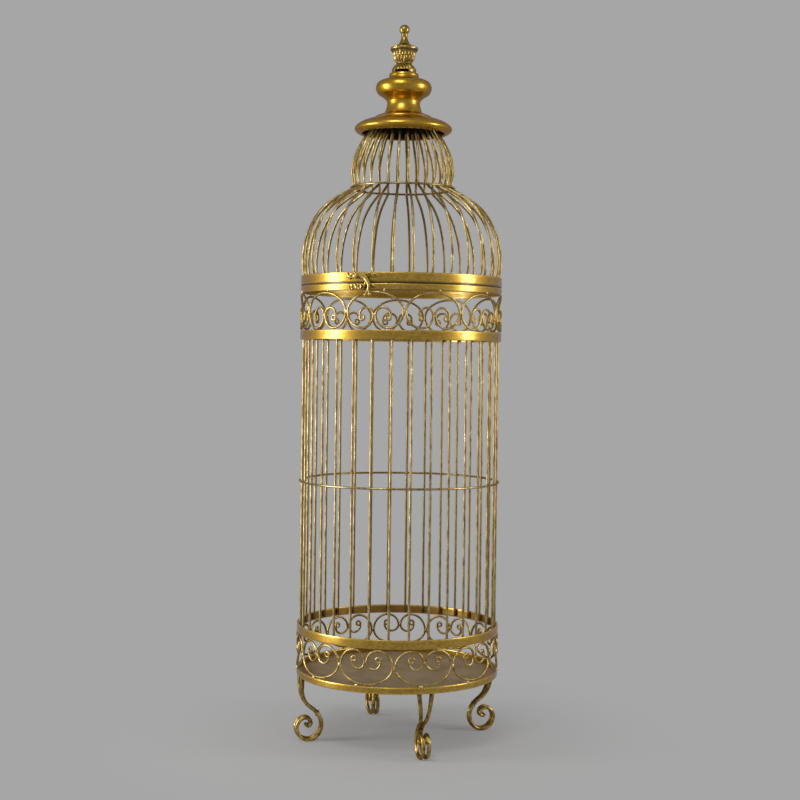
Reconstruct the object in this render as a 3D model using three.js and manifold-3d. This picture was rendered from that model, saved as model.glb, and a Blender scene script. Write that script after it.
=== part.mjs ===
// A tall round bird cage of welded steel rod and flat bar in an antique gold finish, on four scrolled
// legs. Its domed top hinges at the back, and a swinging hook holds it shut at the front.
// Millimetres, +Z up. The origin is on the ground under the middle of the cage, with the hook on the
// -Y side and the hinge on the +Y side. Turns are counted from -Y towards +X.
import * as THREE from "three";
import { mergeVertices } from "three/addons/utils/BufferGeometryUtils.js";
import Module from "manifold-3d";

const wasm = await Module();
wasm.setup();

// Fits
const fitGap = 0.3; // left between two pieces that are welded, brazed or riveted together
const runningGap = 0.25; // left all round a pin that something turns on
const mergeDistance = 0.0005; // vertices nearer than this are one

// Heights, one on top of the other from the ground
const legHeight = 103.7;
const baseRingHeight = 10.7;
const lowerFriezeHeight = 58.1;
const lowerBandHeight = 14.1;
const clearBarHeight = 461.4; // between the lower and the upper band
const upperBandHeight = 15;
const upperFriezeHeight = 60.6;
const bodyRimHeight = 10.8;
const seamHeight = 1.6; // the dome's rim rests this far above the body's rim
const domeRimHeight = 16;
const domeHeight = 233.8; // from the dome's rim up to the crown's lower edge
const crownHeight = 103.2;
const finialLift = 2.6; // the foot of the finial stands this far above the crown
const finialHeight = 76.8;

// Rings and floor
const cageRadius = 165; // outer face of the bands and rims
const bandThickness = 3;
const baseRingThickness = 4;
const floorThickness = 1.2;

// Bars, hoops and dome wires
const barCount = 32;
const barDiameter = 4;
const barLap = 11.6; // length of each bar's end inside a band
const hoopDiameter = 4;
const hoopHeightShare = 0.502; // of the clear height of the bars
const domeWireDiameter = 4;
const domeWireSetback = 2; // lower end of a dome wire above the lower edge of the dome's rim
const neckHoopDiameter = 4;
const neckBrazeDepth = 0.6; // how far the neck hoop is sunk into the brazed joint with each wire

// Friezes of bent wire
const motifCount = 11;
const friezeWireDiameter = 3;
const friezeInset = 1.6; // from the outer face of the bands to the middle of the wire
const lowerFriezeAngle = THREE.MathUtils.degToRad(20.3);
const upperFriezeAngle = THREE.MathUtils.degToRad(23.6);
const brazeHeight = 5; // of the bead of braze between two wires
const brazeWidth = 2.2;

// Legs
const legCount = 4;
const legAngle = THREE.MathUtils.degToRad(37.9);
const legRodDiameter = 6;
const legReach = 41.2; // from the innermost to the outermost point of a rod's middle line
const legSetback = 38.5; // of that innermost point behind the outer face of the base ring
const legTopSpread = 20.5; // between the two rods of a leg under the base ring
const legMidSpread = 6.4; // where they are welded side by side
const legFootSpread = 9.5;
const legWeldHeight = 7;
const legWeldWidth = 2.4;
const footFlat = 0.5; // depth of the flat that is ground under each foot

// Crown, finial and the rod that ties them to the dome
const crownRadius = 80.3;
const crownRecess = 10.7; // depth of the hollow under the crown, where the wires end
const topPlateThickness = 2;
const topPlateInset = 13.4; // edge of the plate inside the crown's outer radius
const seatWidth = 12; // of the shoulder inside the crown that bears on the plate
const wireTopInset = 12.9; // of the upper ends of the wires inside the edge of the plate
const finialRadius = 22.9;
const finialSpigotRadius = 12;
const tieRodDiameter = 6;
const tieRodGrip = 12; // length of the rod inside the finial
const tieRodTail = 4; // below the nut
const nutWidth = 10; // across the corners
const nutHeight = 5;

// Hinge at the back
const hingeLeafWidth = 44;
const hingeLeafThickness = 1.6;
const hingeLeafMargin = 1.5; // from a leaf to the edges of the rim that it is brazed to
const hingePinDiameter = 2.8;
const hingePinHeadDiameter = 5;
const hingePinHeadThickness = 1.2;
const knuckleWall = 1.7;
const middleKnuckleShare = 0.36; // of the width of the leaf
const knuckleGap = 0.5; // along the pin

// Hook and its two plates at the front
const upperPlateWidth = 56;
const upperPlateHeight = 11.4;
const lowerPlateWidth = 45.6;
const lowerPlateHeight = 9.6;
const plateThickness = 1.6;
const pivotAside = -9.5; // pivot of the hook, along X from the middle
const pivotAboveSeam = 9.5; // and above the lower edge of the dome's rim
const pivotDiameter = 3;
const pivotHeadDiameter = 6;
const headThickness = 1.2;
const hookThickness = 2.2;
const hookWidth = 2.6; // of the tines
const hookArcWidth = 5;
const hookNeckWidth = 3.2; // where the arc runs into the tines
const hookClawWidth = 2;
const hookEyeDiameter = 8.4;
const studAside = -1.7;
const studBelowPivot = 16.7;
const studNeckDiameter = 4.4;
const studHeadDiameter = 8;
const studHeadThickness = 2.6;
const rivetTaperShare = 0.7; // of a rivet head's radius, at its outer face
const hookBallDiameter = 5;

// Smoothness
const ringSegments = 40;
const crownSegments = 24;
const finialSegments = 16;
const pinSegments = 12;
const ballSegments = 8;
const barSides = 6;
const hoopSides = 4;
const friezeSides = 4;
const domeWireSides = 4;
const legSides = 8;
const nutSides = 6;
const plateSteps = 5;
const ballRings = 5;

// Half of a scroll motif, from the middle of its wide arc round the lobe and the curl to the eye.
// The first four values are shares of the half width and of the height of the wire's middle line.
const motifArcShares = [
  [0, 0.51, 1, 0.51, -90, 0, 3],
  [0.46, 0.51, 0.54, 0.49, 0, 90, 2],
  [0.46, 0.66, 0.42, 0.34, 90, 180, 2],
  [0.295, 0.66, 0.255, 0.21, 180, 360, 4],
  [0.47, 0.735, 0.08, 0.065, 0, 265, 3],
];
const outerBrazeShare = 0.51; // height of the braze between motifs
const innerBrazeShare = 0.66; // height of the braze in the middle of each motif

// Side view of a leg rod from under the base ring to the end of its scroll. The first four values
// are shares of the leg's reach and of its height.
const legArcShares = [
  [0.114, 0.847, 0.716, 0.365, 0, -62, 3],
  [2.2, 0.25, 2.2, 0.454, 142.7, 180, 2],
  [0.5, 0.25, 0.5, 0.225, 180, 270, 3],
  [0.5, 0.215, 0.5, 0.19, 270, 360, 2],
  [0.65, 0.215, 0.35, 0.153, 0, 90, 2],
  [0.65, 0.285, 0.21, 0.083, 90, 180, 2],
  [0.55, 0.285, 0.11, 0.045, 180, 270, 1],
];
const legJoinShare = 0.53; // height where the two rods meet
const legWeldShare = 0.42; // height where they are welded together
const legSplayShare = 0.34; // height where they begin to part again
const legDrawPower = 0.75; // below 1 draws the rods together mostly near the point where they meet

// Middle line of a dome wire above the rim: shares of the cage radius and of the dome's height
const domeWireShares = [
  [0.981, 0.06],
  [0.978, 0.17],
  [0.937, 0.305],
  [0.835, 0.445],
  [0.709, 0.53],
  [0.588, 0.582],
  [0.495, 0.624],
  [0.504, 0.74],
  [0.47, 0.86],
];
const neckStep = 6; // the point of that line where the neck hoop goes round

// Outline of the crown, from its lower edge up: shares of its radius and height
const crownOutlineShares = [
  [0.87, 0],
  [0.965, 0.035],
  [1, 0.09],
  [0.905, 0.182],
  [0.61, 0.283],
  [0.44, 0.33],
  [0.347, 0.406],
  [0.327, 0.49],
  [0.35, 0.56],
  [0.52, 0.665],
  [0.565, 0.76],
  [0.495, 0.875],
  [0.375, 0.922],
  [0.315, 0.952],
  [0.301, 1],
];

// The hollow inside it, from its roof down to the shoulder that the plate bears on
const crownBoreShares = [
  [0.24, 0.955],
  [0.26, 0.915],
  [0.43, 0.85],
  [0.51, 0.76],
  [0.46, 0.69],
  [0.29, 0.59],
  [0.272, 0.49],
  [0.295, 0.385],
  [0.4, 0.29],
  [0.6, 0.235],
  [0.665, 0.205],
];

// Outline of the finial above its foot's edge: shares of its largest radius and of its height
const finialOutlineShares = [
  [0.838, 0],
  [0.8, 0.055],
  [0.66, 0.115],
  [0.46, 0.152],
  [0.7, 0.225],
  [0.79, 0.32],
  [0.83, 0.415],
  [1, 0.462],
  [0.97, 0.49],
  [0.6, 0.53],
  [0.36, 0.58],
  [0.22, 0.68],
  [0.19, 0.79],
];
const finialBallShare = 0.362; // radius of the ball

// Wavy outline of the front plates, from the left end along the top and back along the bottom:
// shares of a plate's half width and half height
const plateOutlineShares = [
  [-1, 0.05],
  [-0.93, 0.75],
  [-0.74, 1],
  [-0.56, 0.8],
  [-0.42, 0.95],
  [-0.1, 1],
  [0.15, 0.72],
  [0.38, 0.98],
  [0.58, 0.62],
  [0.8, 0.7],
  [1, 0.1],
  [0.82, -0.45],
  [0.55, -0.3],
  [0.3, -0.75],
  [0, -0.95],
  [-0.35, -0.75],
  [-0.55, -0.6],
  [-0.74, -1],
  [-0.93, -0.7],
];

// Straps of the hook, across and up from the pivot: shares of the drop from the pivot to the stud
const arcShares = [
  [0.12, 0.07],
  [0.69, 0.05],
  [0.99, -0.16],
  [1.22, -0.48],
  [1.32, -0.76],
];
const neckShares = [
  [1.31, -0.72],
  [1.35, -0.87],
  [1.33, -1.08],
  [1.25, -1.29],
];
const tineShares = [
  [1.27, -1.24],
  [1.12, -1.49],
  [1.01, -1.71],
];
const secondTineShares = [
  [1.25, -1.22],
  [1.39, -1.5],
  [1.45, -1.69],
];
const clawShares = [
  [1.12, -0.45],
  [1, -0.71],
  [0.9, -0.93],
  [0.78, -1.11],
  [0.65, -1.22],
  [0.467, -1.246],
  [0.335, -1.29],
];

// Levels and radii that follow from the sizes above
const baseRingBottom = legHeight;
const lowerFriezeBottom = baseRingBottom + baseRingHeight;
const lowerBandBottom = lowerFriezeBottom + lowerFriezeHeight;
const barsClearBottom = lowerBandBottom + lowerBandHeight;
const upperBandBottom = barsClearBottom + clearBarHeight;
const upperFriezeBottom = upperBandBottom + upperBandHeight;
const bodyRimBottom = upperFriezeBottom + upperFriezeHeight;
const bodyRimTop = bodyRimBottom + bodyRimHeight;
const domeRimBottom = bodyRimTop + seamHeight;
const domeRimTop = domeRimBottom + domeRimHeight;
const crownBottom = domeRimTop + domeHeight;
const crownTop = crownBottom + crownHeight;
const finialBottom = crownTop + finialLift;
const plateTop = crownBottom + crownRecess + topPlateThickness;
const plateBottom = crownBottom + crownRecess;
const bandInner = cageRadius - bandThickness;
const friezeRadius = cageRadius - friezeInset;
const legInnermost = cageRadius - legSetback;
const wireTopRadius = crownRadius - topPlateInset - wireTopInset;
const pinY = cageRadius + fitGap + hingeLeafThickness + hingePinDiameter / 2 + runningGap;
const pinZ = bodyRimTop + seamHeight / 2;

// Finishes
const giltPlain = { color: 0xb08a3c, roughness: 0.36, metalness: 1 };
const giltBright = { color: 0xc79c45, roughness: 0.28, metalness: 1 };
const giltDark = { color: 0x8a6a2c, roughness: 0.45, metalness: 1 };
const floorCoat = { color: 0x7d6c51, roughness: 0.75, metalness: 0.1 };

const cage = new THREE.Group();
const dome = new THREE.Group();
const hook = new THREE.Group();
dome.add(hook);
cage.add(dome);

function place(name, geometry, finish, parent = cage) {
  const mesh = new THREE.Mesh(geometry, new THREE.MeshStandardMaterial(finish));
  mesh.name = name;
  parent.add(mesh);
  return mesh;
}

// Joining and cutting closed geometries
function toSolid(geometry) {
  const bare = geometry.clone();
  bare.deleteAttribute("normal");
  bare.deleteAttribute("uv");
  const merged = mergeVertices(bare, mergeDistance);
  const vertProperties = new Float32Array(merged.getAttribute("position").array);
  const triVerts = new Uint32Array(merged.index.array);
  return new wasm.Manifold(new wasm.Mesh({ numProp: 3, vertProperties, triVerts }));
}

function toGeometry(body) {
  const { vertProperties, triVerts } = body.getMesh();
  const geometry = new THREE.BufferGeometry();
  geometry.setAttribute("position", new THREE.BufferAttribute(new Float32Array(vertProperties), 3));
  geometry.setIndex(new THREE.BufferAttribute(new Uint32Array(triVerts), 1));
  geometry.computeVertexNormals();
  return geometry;
}

function joined(...geometries) {
  return toGeometry(geometries.map(toSolid).reduce((whole, next) => whole.add(next)));
}

function cutBy(geometry, ...tools) {
  return toGeometry(tools.map(toSolid).reduce((left, tool) => left.subtract(tool), toSolid(geometry)));
}

function commonOf(geometry, other) {
  return toGeometry(toSolid(geometry).intersect(toSolid(other)));
}

// A closed outline in the plane of radius and height, turned about the Z axis
function turned(outline, segments) {
  const points = outline.map(([radius, height]) => new THREE.Vector2(radius, height));
  return new THREE.LatheGeometry(points, segments).rotateX(Math.PI / 2);
}

function flatRing(inner, outer, bottom, height) {
  const top = bottom + height;
  const corners = [[inner, bottom], [outer, bottom], [outer, top], [inner, top], [inner, bottom]];
  return turned(corners, ringSegments);
}

// Part of a flat ring, standing on edge, as wide along X as width and turned to the given middle
function curvedPlate(inner, thickness, width, bottom, height, middle) {
  const outer = inner + thickness;
  const half = Math.asin(width / (2 * outer));
  const facing = middle - Math.PI / 2;
  const plan = new THREE.Shape();
  plan.absarc(0, 0, outer, facing - half, facing + half, false);
  plan.absarc(0, 0, inner, facing + half, facing - half, true);
  plan.closePath();
  const settings = { depth: height, bevelEnabled: false, curveSegments: plateSteps };
  return new THREE.ExtrudeGeometry(plan, settings).translate(0, 0, bottom);
}

function cylinderAlongX(radius, length, middle) {
  return new THREE.CylinderGeometry(radius, radius, length, pinSegments)
    .rotateZ(Math.PI / 2)
    .translate(...middle);
}

function cylinderAlongY(radius, length, middle) {
  return new THREE.CylinderGeometry(radius, radius, length, pinSegments).translate(...middle);
}

// A wire has flat sides, set midway between those inside and those around its round section
function sectionReach(diameter, sides) {
  return (diameter / 4) * (1 + 1 / Math.cos(Math.PI / sides));
}

// A path that takes one step from each of its points to the next, so a tight curl keeps its steps.
// Its section never twists: one side of it keeps facing the direction that sideways gives at a point.
class BentPath extends THREE.CatmullRomCurve3 {
  constructor(points, sideways) {
    super(points);
    this.sideways = sideways;
  }

  getPointAt(t, target) {
    return this.getPoint(t, target);
  }

  computeFrenetFrames(steps) {
    const tangents = [];
    const normals = [];
    const binormals = [];
    for (let k = 0; k <= steps; k += 1) {
      const tangent = this.getTangent(k / steps);
      const normal = this.sideways(this.getPoint(k / steps)).projectOnPlane(tangent).normalize();
      tangents.push(tangent);
      normals.push(normal);
      binormals.push(tangent.clone().cross(normal));
    }
    return { tangents, normals, binormals };
  }
}

function bentWire(points, sideways, diameter, sides) {
  const reach = sectionReach(diameter, sides);
  const corners = Array.from({ length: sides }, (_, k) => {
    const angle = ((k + 0.5) * 2 * Math.PI) / sides;
    return new THREE.Vector2(reach * Math.cos(angle), reach * Math.sin(angle));
  });
  return new THREE.ExtrudeGeometry(new THREE.Shape(corners), {
    steps: points.length - 1,
    bevelEnabled: false,
    extrudePath: new BentPath(points, sideways),
  });
}

// Points along a chain of elliptical arcs, each given as the place of its middle, its two half
// widths, the angles where it starts and ends, in degrees, and its number of steps
function arcChain(arcs) {
  const points = [];
  arcs.forEach(([across, up, halfAcross, halfUp, from, to, steps]) => {
    for (let k = points.length ? 1 : 0; k <= steps; k += 1) {
      const angle = THREE.MathUtils.degToRad(from + ((to - from) * k) / steps);
      points.push([across + halfAcross * Math.cos(angle), up + halfUp * Math.sin(angle)]);
    }
  });
  return points;
}

// A point on a cylinder round the Z axis
function onCylinder(radius, turn, height) {
  return new THREE.Vector3(radius * Math.sin(turn), -radius * Math.cos(turn), height);
}

// Distance from the axis to the middle of a facet of a ring that has corners at the given radius
function facetRadius(radius, segments = ringSegments) {
  return radius * Math.cos(Math.PI / segments);
}

// Rings, bands, rims and floor
function addRings() {
  const baseInner = cageRadius - baseRingThickness;
  place("base_ring", flatRing(baseInner, cageRadius, baseRingBottom, baseRingHeight), giltPlain);
  place("lower_band", flatRing(bandInner, cageRadius, lowerBandBottom, lowerBandHeight), giltPlain);
  place("upper_band", flatRing(bandInner, cageRadius, upperBandBottom, upperBandHeight), giltPlain);
  place("body_rim", flatRing(bandInner, cageRadius, bodyRimBottom, bodyRimHeight), giltPlain);
  place("dome_rim", flatRing(bandInner, cageRadius, domeRimBottom, domeRimHeight), giltPlain, dome);

  const floorRadius = facetRadius(baseInner) - fitGap;
  const floor = new THREE.CylinderGeometry(floorRadius, floorRadius, floorThickness, ringSegments);
  floor.rotateX(Math.PI / 2).translate(0, 0, baseRingBottom + floorThickness / 2);
  place("floor_sheet", floor, floorCoat);
}

// Upright bars inside the bands, and the hoop round their middle
const barReach = sectionReach(barDiameter, barSides);
const barCircle = facetRadius(bandInner) - fitGap - barReach;

function barTurn(k) {
  return ((k + 0.5) * 2 * Math.PI) / barCount;
}

function addBars() {
  const length = clearBarHeight + 2 * barLap;
  const middle = barsClearBottom + clearBarHeight / 2;
  for (let k = 0; k < barCount; k += 1) {
    const bar = new THREE.CylinderGeometry(barReach, barReach, length, barSides).rotateX(Math.PI / 2);
    const mesh = place(`bar_${String(k + 1).padStart(2, "0")}`, bar, giltPlain);
    mesh.position.copy(onCylinder(barCircle, barTurn(k), middle));
    mesh.rotation.z = barTurn(k);
  }

  const hoopReach = sectionReach(hoopDiameter, hoopSides);
  const hoopRadius = (barCircle + barReach + fitGap + hoopReach) / Math.cos(Math.PI / ringSegments);
  const hoop = new THREE.TorusGeometry(hoopRadius, hoopReach, hoopSides, ringSegments);
  hoop.translate(0, 0, barsClearBottom + clearBarHeight * hoopHeightShare);
  place("mid_hoop", hoop, giltPlain);
}

// The motifs of one frieze, brazed into one piece. upsideDown turns their wide arcs to the top.
function frieze(bottom, height, firstTurn, upsideDown) {
  const reach = sectionReach(friezeWireDiameter, friezeSides);
  const pitch = (2 * Math.PI) / motifCount;
  const apart = reach + runningGap / 2; // middle of a wire beside the edge of its motif
  const halfWidth = (friezeRadius * pitch) / 2 - apart;
  const rise = height - 2 * (fitGap + reach);
  const level = (share) => bottom + fitGap + reach + rise * (upsideDown ? 1 - share : share);
  const half = arcChain(motifArcShares);
  const full = [...half.slice(1).reverse().map(([across, up]) => [-across, up]), ...half];
  const outward = (point) => new THREE.Vector3(point.x, point.y, 0);

  const pieces = [];
  for (let k = 0; k < motifCount; k += 1) {
    const middle = firstTurn + (k + 0.5) * pitch;
    const path = full.map(([across, up]) =>
      onCylinder(friezeRadius, middle + (across * halfWidth) / friezeRadius, level(up)));
    pieces.push(bentWire(path, outward, friezeWireDiameter, friezeSides));
    [[middle, innerBrazeShare], [middle + pitch / 2, outerBrazeShare]].forEach(([turn, share]) => {
      const braze = new THREE.BoxGeometry(2 * apart, brazeWidth, brazeHeight).rotateZ(turn);
      const { x, y, z } = onCylinder(friezeRadius, turn, level(share));
      pieces.push(braze.translate(x, y, z));
    });
  }
  return joined(...pieces);
}

function addFriezes() {
  place("lower_frieze", frieze(lowerFriezeBottom, lowerFriezeHeight, lowerFriezeAngle, false), giltBright);
  place("upper_frieze", frieze(upperFriezeBottom, upperFriezeHeight, upperFriezeAngle, true), giltBright);
}

function legSpreadAt(up, pastBottom) {
  if (up >= legJoinShare) {
    const share = ((up - legJoinShare) / (1 - legJoinShare)) ** legDrawPower;
    return THREE.MathUtils.lerp(legMidSpread, legTopSpread, share);
  }
  const share = pastBottom ? 1 : THREE.MathUtils.clamp(1 - up / legSplayShare, 0, 1);
  return THREE.MathUtils.lerp(legMidSpread, legFootSpread, share);
}

function leg(turn) {
  const reach = sectionReach(legRodDiameter, legSides);
  const lowest = reach - footFlat;
  const top = legHeight + fitGap; // the rods are cut off square just under the ring
  const side = [[legArcShares[0][0] + legArcShares[0][2], 1], ...arcChain(legArcShares)];
  const lowestShare = Math.min(...side.map(([, up]) => up));
  const bottomStep = side.findIndex(([, up]) => up === lowestShare);
  const rod = (aside) => bentWire(
    side.map(([across, up], step) => {
      const out = legInnermost + across * legReach;
      const height = lowest + ((up - lowestShare) / (1 - lowestShare)) * (top - lowest);
      return new THREE.Vector3((aside * legSpreadAt(up, step > bottomStep)) / 2, -out, height);
    }),
    () => new THREE.Vector3(1, 0, 0),
    legRodDiameter,
    legSides,
  );
  const trim = (bottom) => new THREE.BoxGeometry(legHeight, legHeight, legHeight)
    .translate(0, -legInnermost - legReach / 2, bottom + legHeight / 2);
  const [weldAcross, weldUp] = side.find(([, up]) => up <= legWeldShare);
  const weld = new THREE.BoxGeometry(legMidSpread, legWeldWidth, legWeldHeight)
    .translate(0, -legInnermost - weldAcross * legReach, weldUp * legHeight);
  const rods = joined(rod(-1), rod(1), weld);
  return cutBy(rods, trim(-legHeight), trim(legHeight - fitGap)).rotateZ(turn);
}

function addLegs() {
  for (let k = 0; k < legCount; k += 1) {
    place(`leg_${k + 1}`, leg(legAngle + (k * 2 * Math.PI) / legCount), giltDark);
  }
}

function domeWirePoints() {
  const reach = sectionReach(domeWireDiameter, domeWireSides);
  const lowRadius = facetRadius(bandInner) - fitGap - reach;
  const at = ([across, up]) => [across * cageRadius, domeRimTop + up * domeHeight];
  return [
    [lowRadius, domeRimBottom + domeWireSetback],
    [lowRadius, domeRimTop],
    ...domeWireShares.map(at),
    [wireTopRadius, plateBottom + reach],
  ];
}

function domeWires() {
  const line = domeWirePoints();
  const pieces = [];
  for (let k = 0; k < barCount; k += 1) {
    const path = line.map(([radius, height]) => onCylinder(radius, barTurn(k), height));
    const outward = () => onCylinder(1, barTurn(k), 0);
    pieces.push(bentWire(path, outward, domeWireDiameter, domeWireSides));
  }
  const [neckRadius, neckHeight] = line[neckStep + 2];
  const hoopRadius = neckRadius + (domeWireDiameter + neckHoopDiameter) / 2 - neckBrazeDepth;
  const hoopReach = sectionReach(neckHoopDiameter, hoopSides);
  const hoop = new THREE.TorusGeometry(hoopRadius, hoopReach, hoopSides, barCount);
  pieces.push(hoop.rotateZ(Math.PI / barCount).translate(0, 0, neckHeight));

  // The upper ends are ground off level, just under the plate that they are brazed to
  const waste = new THREE.BoxGeometry(2 * cageRadius, 2 * cageRadius, crownHeight)
    .translate(0, 0, plateBottom - fitGap + crownHeight / 2);
  return cutBy(joined(...pieces), waste);
}

function crown() {
  const at = ([across, up]) => [across * crownRadius, crownBottom + up * crownHeight];
  const rodHole = tieRodDiameter / 2 + fitGap;
  const roof = at(crownBoreShares[0])[1];
  const seat = plateTop + fitGap;
  const mouth = crownRadius - topPlateInset + fitGap;
  return turned(
    [
      [mouth, crownBottom],
      ...crownOutlineShares.map(at),
      [rodHole, crownTop],
      [rodHole, roof],
      ...crownBoreShares.map(at),
      [mouth - seatWidth, seat],
      [mouth, seat],
      [mouth, crownBottom],
    ],
    crownSegments,
  );
}

function finial() {
  const ballRadius = finialBallShare * finialRadius;
  const ballMiddle = finialBottom + finialHeight - ballRadius;
  const neck = finialOutlineShares.at(-1)[0] * finialRadius;
  const start = Math.asin(neck / ballRadius);
  const ball = Array.from({ length: ballRings }, (_, k) => {
    const angle = THREE.MathUtils.lerp(start, Math.PI, (k + 1) / ballRings);
    return [ballRadius * Math.sin(angle), ballMiddle - ballRadius * Math.cos(angle)];
  });
  ball[ballRings - 1][0] = 0;
  const bore = tieRodDiameter / 2 + fitGap;
  const boreTop = crownTop + tieRodGrip + fitGap;
  const spigotBottom = crownTop + fitGap;
  const at = ([across, up]) => [across * finialRadius, finialBottom + up * finialHeight];
  return turned(
    [
      [0, boreTop],
      [bore, boreTop],
      [bore, spigotBottom],
      [finialSpigotRadius, spigotBottom],
      [finialSpigotRadius, finialBottom],
      ...finialOutlineShares.map(at),
      ...ball,
    ],
    finialSegments,
  );
}

function upright(radius, bottom, top, sides) {
  return new THREE.CylinderGeometry(radius, radius, top - bottom, sides)
    .rotateX(Math.PI / 2)
    .translate(0, 0, (top + bottom) / 2);
}

function addDomeTop() {
  place("dome_wires", domeWires(), giltPlain, dome);
  place("crown", crown(), giltBright, dome);
  place("finial", finial(), giltBright, dome);

  const rodRadius = tieRodDiameter / 2;
  const nutTop = plateBottom - fitGap;
  const nutBottom = nutTop - nutHeight;
  const rod = upright(rodRadius, nutBottom - tieRodTail, crownTop + tieRodGrip, pinSegments);
  const hole = upright(rodRadius + fitGap, nutBottom - fitGap, plateTop + fitGap, pinSegments);
  place("tie_rod", rod, giltDark, dome);

  const plateRadius = facetRadius(crownRadius - topPlateInset, crownSegments) - fitGap;
  const plate = upright(plateRadius, plateBottom, plateTop, crownSegments);
  const nut = upright(nutWidth / 2, nutBottom, nutTop, nutSides);
  place("top_plate", cutBy(plate, hole), giltDark, dome);
  place("tie_rod_nut", cutBy(nut, hole), giltDark, dome);
}

// A butt hinge: a leaf brazed to each rim, with two knuckles below and one above on a common pin
function hingeLeaf(bottom, height, spans) {
  const knuckleRadius = hingePinDiameter / 2 + runningGap + knuckleWall;
  const leaf = curvedPlate(
    cageRadius + fitGap, hingeLeafThickness, hingeLeafWidth, bottom, height, Math.PI);
  const knuckles = spans.map(([from, to]) =>
    cylinderAlongX(knuckleRadius, to - from, [(from + to) / 2, pinY, pinZ]));
  const bore = cylinderAlongX(hingePinDiameter / 2 + runningGap, hingeLeafWidth * 2, [0, pinY, pinZ]);
  return { leaf, knuckles, bore, knuckleRadius };
}

function addHinge() {
  const half = hingeLeafWidth / 2;
  const inner = (hingeLeafWidth * middleKnuckleShare) / 2;
  const lowBottom = bodyRimBottom + hingeLeafMargin;
  const lowTop = pinZ - knuckleGap;
  const highBottom = pinZ + knuckleGap;
  const highTop = domeRimTop - hingeLeafMargin;
  const outerSpans = [[-half, -inner - knuckleGap], [inner + knuckleGap, half]];

  // Each leaf is cut clear of the other leaf's knuckles
  const low = hingeLeaf(lowBottom, lowTop - lowBottom, outerSpans);
  const high = hingeLeaf(highBottom, highTop - highBottom, [[-inner, inner]]);
  const clear = low.knuckleRadius + knuckleGap;
  const lowClear = cylinderAlongX(clear, 2 * (inner + knuckleGap), [0, pinY, pinZ]);
  const highClears = outerSpans.map(([from, to]) => {
    const outward = Math.sign(from + to) * knuckleGap;
    return cylinderAlongX(clear, to - from + 2 * knuckleGap, [(from + to) / 2 + outward / 2, pinY, pinZ]);
  });
  const lowLeaf = cutBy(joined(cutBy(low.leaf, lowClear), ...low.knuckles), low.bore);
  const highLeaf = cutBy(joined(cutBy(high.leaf, ...highClears), ...high.knuckles), high.bore);
  place("hinge_lower_leaf", lowLeaf, giltPlain);
  place("hinge_upper_leaf", highLeaf, giltPlain, dome);

  const headMiddle = half + knuckleGap + hingePinHeadThickness / 2;
  const pin = cylinderAlongX(hingePinDiameter / 2, 2 * headMiddle, [0, pinY, pinZ]);
  const heads = [-headMiddle, headMiddle].map((x) =>
    cylinderAlongX(hingePinHeadDiameter / 2, hingePinHeadThickness, [x, pinY, pinZ]));
  place("hinge_pin", joined(pin, ...heads), giltDark);
}

// A front plate with the wavy outline and a hole
function wavyPlate(width, bottom, height, hole) {
  const plate = curvedPlate(cageRadius + fitGap, plateThickness, width, bottom, height, 0);
  const outline = plateOutlineShares.map(([across, up]) =>
    new THREE.Vector2((across * width) / 2, bottom + (height * (1 + up)) / 2));
  const depth = 2 * cageRadius;
  const cutter = new THREE.ExtrudeGeometry(new THREE.Shape(outline), { depth, bevelEnabled: false })
    .rotateX(Math.PI / 2);
  return cutBy(commonOf(plate, cutter), hole);
}

// Levels of the pivot and the stud, and the depths of the plates and the hook in front of the rims
const pivotZ = domeRimBottom + pivotAboveSeam;
const studZ = pivotZ - studBelowPivot;
const plateFace = -(cageRadius + fitGap + plateThickness);
const hookMiddle = plateFace - fitGap - hookThickness / 2;
const hookFace = hookMiddle - hookThickness / 2;

// Plates, with the holes that the pivot and the stud are riveted into
function addFrontPlates() {
  const through = 2 * (plateThickness + fitGap);
  const pivotHole = cylinderAlongY(pivotDiameter / 2 + fitGap, 2 * through, [pivotAside, plateFace, pivotZ]);
  const studHole = cylinderAlongY(studNeckDiameter / 2 + fitGap, 2 * through, [studAside, plateFace, studZ]);
  const upperBottom = domeRimTop - upperPlateHeight - fitGap;
  const lowerBottom = bodyRimTop - lowerPlateHeight - fitGap;
  const upper = wavyPlate(upperPlateWidth, upperBottom, upperPlateHeight, pivotHole);
  const lower = wavyPlate(lowerPlateWidth, lowerBottom, lowerPlateHeight, studHole);
  place("latch_upper_plate", upper, giltPlain, dome);
  place("latch_lower_plate", lower, giltPlain);
}

// A headed rivet that ends just off the rim behind the plates, with its head just off the hook
function rivet(aside, height, radius, headRadius, headDepth) {
  const root = -Math.sqrt(cageRadius ** 2 - aside ** 2) - fitGap;
  const headMiddle = hookFace - fitGap - headDepth / 2;
  const shank = cylinderAlongY(radius, root - headMiddle, [aside, (root + headMiddle) / 2, height]);
  const outerRadius = headRadius * rivetTaperShare;
  const head = new THREE.CylinderGeometry(headRadius, outerRadius, headDepth, pinSegments)
    .translate(aside, headMiddle, height);
  return joined(shank, head);
}

function addRivets() {
  const pivot = rivet(pivotAside, pivotZ, pivotDiameter / 2, pivotHeadDiameter / 2, headThickness);
  const stud = rivet(studAside, studZ, studNeckDiameter / 2, studHeadDiameter / 2, studHeadThickness);
  place("latch_pivot_rivet", pivot, giltBright, dome);
  place("latch_stud", stud, giltBright);
}

function hookPoint([across, up]) {
  return new THREE.Vector3(
    pivotAside + across * studBelowPivot,
    hookMiddle,
    pivotZ + up * studBelowPivot,
  );
}

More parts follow.
